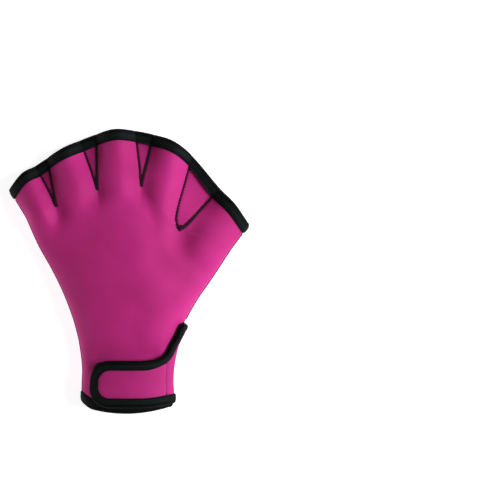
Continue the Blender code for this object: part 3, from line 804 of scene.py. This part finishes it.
magenta = jerseyNeoprene("magenta jersey neoprene", "#CB2D86", "#B4276F", "#E658B8", "X")
# a darker copy of the same neoprene for the strap: painted shade; its loops run the other way
shadedStrapMagenta = jerseyNeoprene("shaded magenta strap neoprene", "#C02B7F", "#AB2569", "#E658B8", "Y")
# a copy of the neoprene with a darker dark tone: painted shade for the recessed webs
shadedWebMagenta = jerseyNeoprene("magenta web neoprene", "#CB2D86", "#B0266C", "#E658B8", "X")
# the second colour is painted shade in the rib grooves, the third painted shade at the fold and at the
# sewn edge
blackTape = wovenTape("black woven binding tape", "#171F1C", "#0D1311", "#070908")
plumThread = spunThread("plum seam thread", "#3A0A28", "#14040E")
blackThread = spunThread("black binding thread", "#100C10", "#060506")
print("materials made")


# Back, palm and webs

backWall = backPoints()
backTurns = wallNormals(backWall, 1, slitRow + 1)
palmWall = palmPoints()
palmTurns = wallNormals(palmWall, -1, 0)


def keptQuads(withWebs):
    # the palm's sheet runs on under the webs; the back has notches there
    kept = np.ones((len(columns) - 1, backWall.shape[1] - 1), bool)
    for c in range(len(columns) - 1):
        if "web" in (columns[c][0], columns[c + 1][0]):
            kept[c, :pointRow] = False
            if not withWebs:
                kept[c] = False
    return kept


thickSheet("back_neoprene", backWall, backTurns, keptQuads(False), magenta, "neoprene",
           "back_panel")
thickSheet("palm_neoprene", palmWall, palmTurns, keptQuads(True), magenta, "neoprene",
           "palm_panel")


def webSheet(number):
    # a flat panel let in between two fingers, a gap inside its seams
    left = columns.index(("finger", number, 1))
    right = columns.index(("finger", number + 1, 0))
    points = backWall[left:right + 1, pointRow + 1:].copy()
    turns = backTurns[left:right + 1, pointRow + 1:]
    middle = (points[0] + points[-1]) / 2
    for c in (0, -1):
        points[c] += unit(middle - points[c]) * glove["gap"]
    spread = np.linalg.norm(points[-1] - points[0], axis=-1)
    share = np.linspace(0, 1, len(points))[:, None]
    points[..., 2] -= glove["webSag"] * np.sin(math.pi * share) * smooth(spread / glove["webSagSpread"])
    kept = np.ones((points.shape[0] - 1, points.shape[1] - 1), bool)
    thickSheet("web_sheet_" + webs[number][0], points, turns, kept, shadedWebMagenta, "web_neoprene",
               "web_" + webs[number][0])


for number in range(len(webs)):
    webSheet(number)
print("neoprene panels made")


# Folded tape

insideCount = 10                   # points of a section that face the neoprene


def tapeSection(depth, past=palmLift):
    # distance in from the edge and height over the wall, round the tape's section: the side
    # on the neoprene first
    inner = [(depth * share, tapeClear) for share in (1.0, 0.75, 0.5, 0.25)]
    inner += [(-glove["gap"], tapeClear), (-glove["gap"], -tapeClear)]
    inner += [(depth * share, -tapeClear) for share in (0.25, 0.5, 0.75, 1.0)]
    crownLeg = [(1.0, 0.30), (0.975, 0.62), (0.93, 0.86), (0.86, 0.98), (0.72, 1.10), (0.55, 1.18),
                (0.40, 1.20), (0.26, 1.16)]
    lower = [(depth * a, -tapeClear - binding["wall"] * h) for a, h in crownLeg]
    start = depth * binding["foldShare"]
    reach = start + past
    fold = []
    for k in range(9):
        turn = math.radians(-90 + 180 * k / 8)
        fold.append((start - reach * math.cos(turn) ** 0.9 if k not in (0, 8) else start,
                     (tapeOut + 0.04 * mm) * math.sin(turn)))
    upper = [(depth * a, tapeClear + binding["wall"] * h) for a, h in reversed(crownLeg)]
    return np.array(inner + lower + fold + upper)


def unevenness(run, seed):
    # slow change of a hand-guided tape's width along its run
    slow = np.sin(run / binding["waveLength"] + seed)
    return (slow + 0.6 * np.sin(run / binding["shortWave"] + 2.1 * seed)) / 1.6


def roundedEnd(fromEnd):
    # how far the fold draws back near a cut end, as the end is rounded off
    near = np.clip(fromEnd / binding["endRound"], 0, 1)
    return (1 - np.sqrt(1 - (1 - near) ** 2)) * binding["endDraw"]


def wallPlaces(lines, section, bunch=None):
    # the tape's points on lines of (points, normals) that lead in from the wall's edge
    starts = np.array([line[0][0] for line in lines])
    run = runOf(starts)
    rows = []
    for station, (points, normals) in enumerate(lines):
        down = runOf(points)
        depth = section[:, 0] * (1 + binding["edgeWaver"] * unevenness(run[station], 1.3))
        outer = np.clip(1 - depth / (0.5 * section[:, 0].max()), -1, 1)
        depth = depth + roundedEnd(min(run[station], run[-1] - run[station])) * outer
        inward = np.maximum(depth, 0)
        spots = np.stack([np.interp(inward, down, points[:, k]) for k in range(3)], axis=-1)
        turns = unit(np.stack([np.interp(inward, down, normals[:, k]) for k in range(3)], axis=-1))
        out = unit(points[0] - points[1])
        spots = spots - out * np.minimum(depth, 0)[:, None]
        thick = 1 + (0.0 if bunch is None else bunch[station])
        height = np.sign(section[:, 1]) * (tapeClear + (np.abs(section[:, 1]) - tapeClear) * thick)
        small = np.abs(section[:, 1]) < tapeClear
        height = np.where(small, section[:, 1], height)
        rows.append(spots + turns * height[:, None])
    return np.array(rows), run


def foldedTape(name, rows, run, section, *nodes):
    stations, size = rows.shape[:2]
    vertices = rows.reshape(-1, 3)
    faces = ringFaces(stations, size)
    across = np.maximum(section[:, 0], 0) / section[:, 0].max() * tapeWeave["width"]
    uvs = np.stack(np.broadcast_arrays(run[:, None], across[None, :]), axis=-1).reshape(-1, 2)
    # each end is tucked in and closed over the neoprene by a thin lid
    for first, ring, inner, turned in ((0, rows[0], rows[1], False),
                                       ((stations - 1) * size, rows[-1], rows[-2], True)):
        outer = list(range(insideCount, size))
        middle = ring[outer].mean(axis=0)
        out = unit((ring - inner).mean(axis=0)) * binding["lid"]
        start = len(vertices)
        vertices = np.concatenate([vertices, middle + (ring[outer] - middle) * binding["lidShare"] + out])
        uvs = np.concatenate([uvs, uvs[[first + k for k in outer]]])
        lid = [start + k for k in range(len(outer))]
        rim = [first + k for k in outer]
        added = [(rim[k], rim[k + 1], lid[k + 1], lid[k]) for k in range(len(outer) - 1)]
        added.append((first, first + insideCount - 1, rim[0], lid[0], lid[-1], rim[-1]))
        added += [tuple(range(first, first + insideCount)), tuple(lid)]
        if turned:
            added = [tuple(reversed(face)) for face in added]
        faces += [tuple(reversed(face)) if k < len(outer) - 1 else face
                  for k, face in enumerate(added)]
    return newPiece(name, vertices, faces, blackTape, "binding_tape", nodes, uvs)


def edgeLines(points, normals, fromFingers):
    # lines from an edge inwards, without those that start where the one before does
    lines = []
    for column, turns in zip(points, normals):
        line = (column[::-1], turns[::-1]) if fromFingers else (column, turns)
        if not lines or np.linalg.norm(line[0][0] - lines[-1][0][0]) > 0.25 * mm:
            lines.append(line)
    lines[-1] = line
    return lines


def webTopBunch(lines):
    # the tape bunches a little where it crosses the top of a web's seam
    tops = [glovePoint(*web[k]) for web in webs for k in (3, 4)]
    starts = np.array([line[0][0] for line in lines])
    starts[:, 2] = 0
    bunch = np.zeros(len(lines))
    for top in tops:
        away = np.linalg.norm(starts - top, axis=1)
        bunch = np.maximum(bunch, binding["bunch"] * np.exp(-(away / binding["bunchReach"]) ** 2))
    return bunch


fingerSection = tapeSection(binding["fingerDepth"], binding["fingerReach"])
hemSection = tapeSection(binding["hemDepth"])
tapeEdges = {}
for name, points, normals, fromFingers, section in (
        ("finger_tape_back", backWall, backTurns, True, fingerSection),
        ("finger_tape_palm", palmWall, palmTurns, True, fingerSection),
        ("hem_tape_back", backWall, backTurns, False, hemSection),
        ("hem_tape_palm", palmWall, palmTurns, False, hemSection)):
    lines = edgeLines(points, normals, fromFingers)
    bunch = webTopBunch(lines) if fromFingers else None
    rows, run = wallPlaces(lines, section, bunch)
    node = name.replace("finger_tape", "finger_edge_binding").replace("hem_tape", "hem_binding")
    foldedTape(name, rows, run, section, node)
    tapeEdges[name] = lines
print("edge tapes made")


# The strap

strapHalf = strap["width"] / 2
strapRoot = strapSweep[0, 0] * strap["sweepLength"]


def riseAt(share, y):
    # the rise up the hand that a height on the plan belongs to, found by halving
    low = np.zeros(np.broadcast(share, y).shape)
    high = np.ones_like(low)
    for _ in range(26):
        middle = (low + high) / 2
        under = handPoint(share, middle)[..., 1] < y
        low = np.where(under, middle, low)
        high = np.where(under, high, middle)
    return (low + high) / 2


def wristPoint(share, y):
    # on the back's dome, at a height on the plan
    rise = riseAt(share, y)
    point = handPoint(share, rise)
    point[..., 2] = domeHeight(share, rise)
    return point


def strapMiddle(share, y):
    # up from the side seam, then over the back
    small = 0.1 * mm
    point = wristPoint(share, y)
    across = wristPoint(np.minimum(share + small, 1.0), y) - wristPoint(share - small, y)
    along = wristPoint(share, y + small) - wristPoint(share, y - small)
    normal = unit(np.cross(across, along))
    overHem = handPoint(1.0, 0.0)[1] + hemZone
    full = mix(strapLift, strapLowLift, smooth((y - overHem) / strap["sink"]))
    rise = full * smooth((point[..., 2] - glove["seamHeight"]) / strap["ramp"])
    return point + normal * rise[..., None]


# lengths over the back from the side seam, by share across
sectionShares = 1 - 0.99 * np.linspace(0, 1, 161) ** 2
sectionLengths = runOf(strapMiddle(sectionShares, np.full_like(sectionShares, strapMiddleY)))


def strapPlace(length, y):
    # points and normals of the strap's middle, by length from the seam and height on the plan
    small = 0.3 * mm

    def spotAt(distance, height):
        share = np.interp(distance, sectionLengths, sectionShares)
        return strapMiddle(share, height)

    spot = spotAt(length, y)
    along = spotAt(length, y + small) - spotAt(length, y - small)
    across = spotAt(length - small, y) - spotAt(length + small, y)
    normal = unit(np.cross(across, along))
    outward = unit(flat(along[..., 1], -along[..., 0]))
    atSeam = (length < small)[..., None]
    return spot, np.where(atSeam, outward, normal)


def strapTop(length):
    # the upper edge on the plan, with the sweep up along the slit
    sweep = chain(strapSweep[:, 0], strapSweep[:, 1],
                  np.clip(length / strap["sweepLength"], strapSweep[0, 0], 1.0))
    return strapMiddleY + strapHalf + sweep * strap["sweepHeight"]


def strapLow(length):
    rise = strap["lowerRise"] * (1 - smooth(length / strap["sweepLength"]))
    return strapMiddleY - strapHalf + rise


def sweepRun(shares):
    # lengths along the sweep, crowded at the root's end
    return strapRoot + (strap["sweepLength"] - strapRoot) * shares ** 1.6


def tipCorner(turns):
    # lengths and half widths round a corner of the tip
    corner = strap["corner"]
    return strap["length"] - corner * (1 - np.cos(turns)), strapHalf - corner + corner * np.sin(turns)


def strapOutline():
    # the strap's free edges on the flat cut: the root's upper end, the sweep, the tip, back
    straight = strap["length"] - strap["corner"]
    run = np.concatenate([sweepRun(np.linspace(0, 1, 120)),
                          np.linspace(strap["sweepLength"], straight, 30)[1:]])
    top = np.stack([run, strapTop(run)], axis=-1)
    out, reach = tipCorner(np.radians(np.linspace(90, 0, 24)[1:]))
    tipTop = np.stack([out, strapMiddleY + reach], axis=-1)
    tipLow = np.stack([out, strapMiddleY - reach], axis=-1)[::-1]
    back = np.linspace(straight, 0, 60)
    low = np.stack([back, strapLow(back)], axis=-1)
    return np.concatenate([top, tipTop, tipLow[1:], low])


def strapFace():
    # the strap's own wall: lengths from the seam by shares of its width there
    straight = strap["length"] - strap["corner"]
    lengths = np.concatenate([np.linspace(0, strapRoot, 9)[:-1], sweepRun(np.linspace(0, 1, 34)[:-1]),
                              np.linspace(strap["sweepLength"], straight, 24)[:-1]])
    tops = strapTop(lengths)
    lows = strapLow(lengths)
    out, reach = tipCorner(np.radians(np.linspace(90, 0, 18)))
    lengths = np.concatenate([lengths, out])
    tops = np.concatenate([tops, strapMiddleY + reach])
    lows = np.concatenate([lows, strapMiddleY - reach])
    shares = np.linspace(0, 1, 41)
    ys = mix(lows[:, None], tops[:, None], shares[None, :])
    spots, normals = strapPlace(np.broadcast_to(lengths[:, None], ys.shape), ys)
    fold = np.exp(-((lengths - strap["foldSeam"]) / strap["foldWidth"]) ** 2)
    nearEdge = np.minimum(tops[:, None] - ys, ys - lows[:, None])
    puff = strap["puff"] * smooth((nearEdge - binding["strapDepth"]) / strap["puffFade"])
    height = puff - strap["foldDip"] * fold[:, None] * smooth(nearEdge / strap["dipFade"])
    return spots + normals * height[..., None], normals


strapSpots, strapTurns = strapFace()
strapSpots = strapSpots[::-1]
strapTurns = strapTurns[::-1]
thickSheet("strap_neoprene", strapSpots, strapTurns,
           np.ones((strapSpots.shape[0] - 1, strapSpots.shape[1] - 1), bool), shadedStrapMagenta,
           "neoprene", "closure_strap")


def strapNarrow(run):
    fade = smooth((run - strap["sweepHeight"]) / strap["narrowFade"])
    return 1 - binding["sweepNarrowing"] * (1 - fade)


def strapTape():
    # one tape from the root's upper end, down the sweep, round the tip and back to the seam
    outline = resample(flat(*strapOutline().T), 0.9 * mm)[0][:, :2]
    along = unit(np.gradient(outline, axis=0))
    inward = np.stack([along[:, 1], -along[:, 0]], axis=-1)
    section = tapeSection(binding["strapDepth"], binding["strapReach"])
    run = runOf(outline)
    depth = section[None, :, 0] * (1 + binding["strapWaver"] * unevenness(run, 4.2)[:, None])
    depth = depth * strapNarrow(run)[:, None]
    # the root's upper end is rounded off like a nub
    outer = np.clip(1 - depth / (0.5 * binding["strapDepth"]), 0, 1)
    corner = np.array((strap["length"] - binding["lapInset"], strapMiddleY + strapHalf))
    lap = run - run[np.argmin(np.linalg.norm(outline - corner, axis=1))]
    drawn = roundedEnd(run) - binding["lapWidth"] * np.exp(-(lap / binding["lapLength"]) ** 2)
    depth = depth + drawn[:, None] * outer
    places = outline[:, None] + inward[:, None] * depth[..., None]
    spots, normals = strapPlace(places[..., 0], places[..., 1])
    rows = spots + normals * section[None, :, 1, None]
    foldedTape("strap_tape", rows, run, section, "strap_binding")
    return outline, inward


strapEdge, strapInward = strapTape()


def strapRootCap():
    # the same tape turned over the root's upper end, down to the side seam
    past = 0.4 * mm
    run = np.linspace(past, strapRoot + past, 16)
    section = tapeSection(0.8 * binding["strapDepth"])
    lengths, depths = np.meshgrid(run, section[:, 0], indexing="ij")
    spots, normals = strapPlace(lengths, strapTop(strapRoot) - depths)
    # a little thicker, so that it lies over the tape that it covers
    rows = spots + normals * section[None, :, 1, None] * 1.06
    foldedTape("strap_tape_end", rows, run, section)


strapRootCap()
print("strap made")


# Sewing

stitch = {
    "tapeInset": 1.1 * mm,         # the stitch line in from the tape's inner edge
    "tapePitch": 2.7 * mm,
    "tapeLength": 2.0 * mm,
    "tapeThread": 0.20 * mm,       # threads are given by their radius
    "tapeSink": 0.98,              # share of the tape's thickness at which its stitches lie
    "edgeShadeThread": 0.42 * mm,       # a dark thread in the groove beside the tape, partly stitching and partly painted shade
    "edgeInset": 0.1 * mm,
    "edgeLift": 0.2 * mm,
    "foldPitch": 2.3 * mm,
    "foldLength": 1.9 * mm,
    "foldThread": 0.28 * mm,
    "foldSink": 0.30 * mm,
    "seamPitch": 2.4 * mm,         # flatlock loops across a web's seam, real 1.5 mm
    "seamReach": 1.15 * mm,
    "seamThread": 0.62 * mm,
    "seamLift": 0.35 * mm,
    "loopLift": 0.28 * mm,
    "coverThread": 0.84 * mm,
    "beaded": (1.0, 0.6),          # shares of the loops' reach and of the cover thread
    "thumbBeaded": (1.15, 0.55),
    "straight": (0.5, 1.3),
    "steepLift": 0.9 * mm,         # at the bottom of the thumb's web, where the wall is steep
    "steepRows": 9,
    "sideReach": 0.7 * mm,
    "sidePitch": 2.0 * mm,
    "sideThread": 0.24 * mm,
    "sideCore": 0.65 * mm,
}
overedge = {
    "pitch": 1.9 * mm,
    "reach": 0.8 * mm,
    "radius": 0.38 * mm,
    "lift": 0.4 * mm,
}
barTack = {
    "pitch": 0.7 * mm,
    "reach": 1.25 * mm,
    "radius": 0.48 * mm,
    "lift": 0.7 * mm,
}
tackBack = 1.4 * mm                # a tack starts this far below its web's point
tackAhead = 3.0 * mm


def dashes(points, normals, pitch, length, radius):
    # separate stitches that dip into the cloth at both ends
    points, normals = resample(points, pitch, normals)
    parts = []
    for a, b, normal in zip(points[:-1], points[1:], normals[:-1]):
        along = (b - a) * length / max(np.linalg.norm(b - a), 1e-9)
        shares = np.array((0.0, 0.2, 0.5, 0.8, 1.0))
        lifts = np.array((-0.6, 0.35, 0.6, 0.35, -0.6)) * radius
        line = a + shares[:, None] * along + normal * lifts[:, None]
        sizes = radius * np.array((0.55, 0.95, 1.0, 0.95, 0.55))
        parts.append(tube(line, np.tile(normal, (5, 1)), sizes, 5))
    return parts


def loops(points, normals, pitch, reach, radius, lift):
    # one thread that swings from side to side of a seam
    points, normals = resample(points, pitch / 6, normals)
    along = unit(np.gradient(points, axis=0))
    across = unit(np.cross(along, normals))
    run = runOf(points) / pitch
    swing = np.sin(run * math.tau)
    height = lift - 0.25 * mm * swing ** 2           # it dips at each side
    line = points + across * (swing * reach)[:, None] + normals * height[:, None]
    return tube(line, normals, np.full(len(line), radius), 5)


def besideEdge(lines, at, side, height):
    # a path at a depth in from an edge and a height over the wall
    spots, turns = [], []
    for points, normals in lines:
        down = runOf(points)
        spot = np.array([np.interp(at, down, points[:, k]) for k in range(3)])
        turn = unit(np.array([np.interp(at, down, normals[:, k]) for k in range(3)])) * side
        spots.append(spot + turn * height)
        turns.append(turn)
    return np.array(spots), np.array(turns)


# a continuous dark thread along the tape's inner edge: partly the stitching there, partly painted shade
# in the groove
def edgeShadeThread(points, normals):
    points, normals = resample(points, 0.8 * mm, normals)
    return tube(points, normals, np.full(len(points), stitch["edgeShadeThread"]))


def tapeStitches(name, lines, depth, side):
    at = depth - stitch["tapeInset"]
    spots, turns = besideEdge(lines, at, side, tapeClear + binding["wall"] * stitch["tapeSink"])
    parts = dashes(spots, turns, stitch["tapePitch"], stitch["tapeLength"], stitch["tapeThread"])
    # the dark edge thread: stitching and painted shade in the groove beside the tape
    parts.append(edgeShadeThread(*besideEdge(lines, depth + stitch["edgeInset"], side,
                                        halfWall + stitch["edgeLift"])))
    # close overedge loops hold the tape where it crosses the webs
    if lines is tapeEdges["finger_tape_back"]:
        starts = np.array([line[0][0] for line in lines])
        for _, _, _, leftTop, rightTop, _, _ in webs:
            first = np.argmin(np.linalg.norm((starts - glovePoint(*leftTop))[:, :2], axis=1))
            last = np.argmin(np.linalg.norm((starts - glovePoint(*rightTop))[:, :2], axis=1))
            spots, turns = besideEdge(lines[first:last + 1], depth - 0.2 * mm, side,
                                      tapeClear + 0.5 * mm)
            parts.append(loops(spots, turns, **overedge))
    newPiece(name, *joined(parts), blackThread, "binding_tape")


for edge in ("finger", "hem"):
    for face, side in (("back", 1), ("palm", -1)):
        tapeStitches(edge + "_tape_stitches_" + face, tapeEdges[edge + "_tape_" + face],
                     binding[edge + "Depth"], side)


def strapStitches():
    depth = binding["strapDepth"] * strapNarrow(runOf(strapEdge))[:, None]
    places = strapEdge + strapInward * (depth - stitch["tapeInset"])
    spots, normals = strapPlace(places[:, 0], places[:, 1])
    spots = spots + normals * (tapeClear + binding["wall"] * stitch["tapeSink"])
    parts = dashes(spots, normals, stitch["tapePitch"], stitch["tapeLength"], stitch["tapeThread"])
    # the dark edge thread: stitching and painted shade in the groove beside the strap's tape
    places = strapEdge + strapInward * (depth + stitch["edgeInset"])
    spots, normals = strapPlace(places[:, 0], places[:, 1])
    parts.append(edgeShadeThread(spots + normals * (halfWall + stitch["edgeLift"]), normals))
    newPiece("strap_tape_stitches", *joined(parts), blackThread, "binding_tape")
    # the cross seam beside the fold
    low = strapLow(strap["foldSeam"]) + binding["strapDepth"]
    high = strapTop(strap["foldSeam"]) - binding["strapDepth"]
    ys = np.linspace(low, high, 40)
    spots, normals = strapPlace(np.full(40, strap["foldSeam"]), ys)
    spots = spots + normals * (halfWall - stitch["foldSink"])
    parts = dashes(spots, normals, stitch["foldPitch"], stitch["foldLength"], stitch["foldThread"])
    newPiece("strap_fold_stitches", *joined(parts), plumThread, "neoprene")


strapStitches()


def webSeams(number):
    # flatlock on the finger side of each seam, and a bar tack at the point
    left = columns.index(("finger", number, 1))
    right = columns.index(("finger", number + 1, 0))
    parts = []
    cover = []
    if number == len(webs) - 1:
        styles = (stitch["thumbBeaded"], stitch["thumbBeaded"])
        steepLift = stitch["steepLift"]
    else:
        styles = (stitch["beaded"], stitch["straight"])
        steepLift = 0.0
    for c, (reach, thick) in zip((left, right), styles):
        line = backWall[c, pointRow:-grid["edgeRows"] + 1]
        turns = np.tile(up, (len(line), 1))
        steep = smooth(1 - np.arange(len(line)) / stitch["steepRows"])[:, None] * steepLift
        line = line + up * (halfWall + stitch["seamLift"] + steep)
        parts.append(loops(line, turns, stitch["seamPitch"], stitch["seamReach"] * reach,
                           stitch["seamThread"], stitch["loopLift"]))
        line, turns = resample(line, 0.8 * mm, turns)
        cover.append(tube(line, turns, np.full(len(line), stitch["coverThread"] * thick)))
    start = backWall[left, pointRow]
    ahead = unit((backWall[left, pointRow + 8] + backWall[right, pointRow + 8]) / 2 - start)
    point = start + up * (halfWall + 0.1 * mm)
    tack = np.array([point - ahead * tackBack, point + ahead * tackAhead])
    parts.append(loops(tack, np.tile(up, (2, 1)), **barTack))
    newPiece("web_seam_loops_" + webs[number][0], *joined(parts), plumThread, "web_neoprene")
    newPiece("web_seam_cover_" + webs[number][0], *joined(cover), blackThread, "web_neoprene")


for number in range(len(webs)):
    webSeams(number)


def sideSeams():
    # the overlocked seams between the back and the palm
    parts = []
    for c, side, first in ((0, -1, 0), (-1, 1, slitRow)):
        line = (backWall[c] + palmWall[c])[first:-grid["edgeRows"]] / 2
        along = np.gradient(line, axis=0)
        out = unit(flat(along[:, 1], -along[:, 0])) * side
        line = line + out * halfWall
        parts.append(loops(line, out, stitch["sidePitch"], stitch["sideReach"],
                           stitch["sideThread"], stitch["sideThread"]))
        line, out = resample(line, 1.0 * mm, out)
        parts.append(tube(line, out, np.full(len(line), stitch["sideCore"])))
    newPiece("side_seam_thread", *joined(parts), plumThread, "neoprene")


sideSeams()
print("sewing made")


# Studio

studio = {
    "aim": (96.8 * mm, 16.8 * mm, 12.0 * mm),
    "cameraHeight": 2.0,
    "frameWidth": 0.4,
    "sensor": 36.0,
    "floorHalf": 4.0,
    "keyPlace": (1.24, 0.08, 0.91),
    "keySize": (0.8, 0.8),
    "keyPower": 25.8,
    "rimPlace": (-1.3, 0.0, 0.14),
    "rimSize": (1.2, 0.24),
    "rimPower": 4.7,
    "skyStrength": 0.16,
    "horizonStrength": 1.0,
    "horizonEnds": (0.11, 0.24),   # how far up the white room reaches before it dims
}


def addArea(name, place, size, power, colour):
    light = bpy.data.lights.new(name, "AREA")
    light.shape = "RECTANGLE"
    light.size, light.size_y = size
    light.energy = power
    light.color = linear(colour)[:3]
    lamp = bpy.data.objects.new(name, light)
    lamp.location = place
    toward = -np.array(place)
    yaw = math.atan2(toward[1], toward[0]) - math.pi / 2
    pitch = math.atan2(math.hypot(toward[0], toward[1]), -toward[2])
    lamp.rotation_euler = (pitch, 0, yaw)
    bpy.context.scene.collection.objects.link(lamp)


def addStudio():
    scene = bpy.context.scene
    size = studio["floorHalf"]
    corners = [(-size, -size, 0), (size, -size, 0), (size, size, 0), (-size, size, 0)]
    mesh = bpy.data.meshes.new("floor")
    mesh.from_pydata(corners, [], [(0, 1, 2, 3)])
    mesh.materials.append(paleFloor("pale light table"))
    floor = bpy.data.objects.new("floor", mesh)
    scene.collection.objects.link(floor)

    camera = bpy.data.cameras.new("camera")
    camera.sensor_width = studio["sensor"]
    camera.lens = camera.sensor_width * studio["cameraHeight"] / studio["frameWidth"]
    eye = bpy.data.objects.new("camera", camera)
    x, y, z = studio["aim"]
    eye.location = (x, y, z + studio["cameraHeight"])
    scene.collection.objects.link(eye)
    scene.camera = eye

    addArea("key", studio["keyPlace"], studio["keySize"], studio["keyPower"], "#F8F2FF")
    addArea("rim", studio["rimPlace"], studio["rimSize"], studio["rimPower"], "#FFF6FF")
    world = bpy.data.worlds.new("pale studio")
    world.use_nodes = True
    # a white room at the height of the table, dimmer above
    tree = world.node_tree
    background = tree.nodes["Background"]
    background.inputs["Color"].default_value = linear("#FFFFFF")
    place = addNode(tree, "ShaderNodeTexCoord")
    parts = addNode(tree, "ShaderNodeSeparateXYZ", links={0: place.outputs["Generated"]})
    low, high = studio["horizonEnds"]
    level = addNode(tree, "ShaderNodeMapRange",
                    {"From Min": low, "From Max": high, "To Min": studio["horizonStrength"],
                     "To Max": studio["skyStrength"]}, {"Value": parts.outputs["Z"]})
    tree.links.new(level.outputs["Result"], background.inputs["Strength"])
    scene.world = world
    scene.view_settings.view_transform = "Standard"


addStudio()
print("studio made")
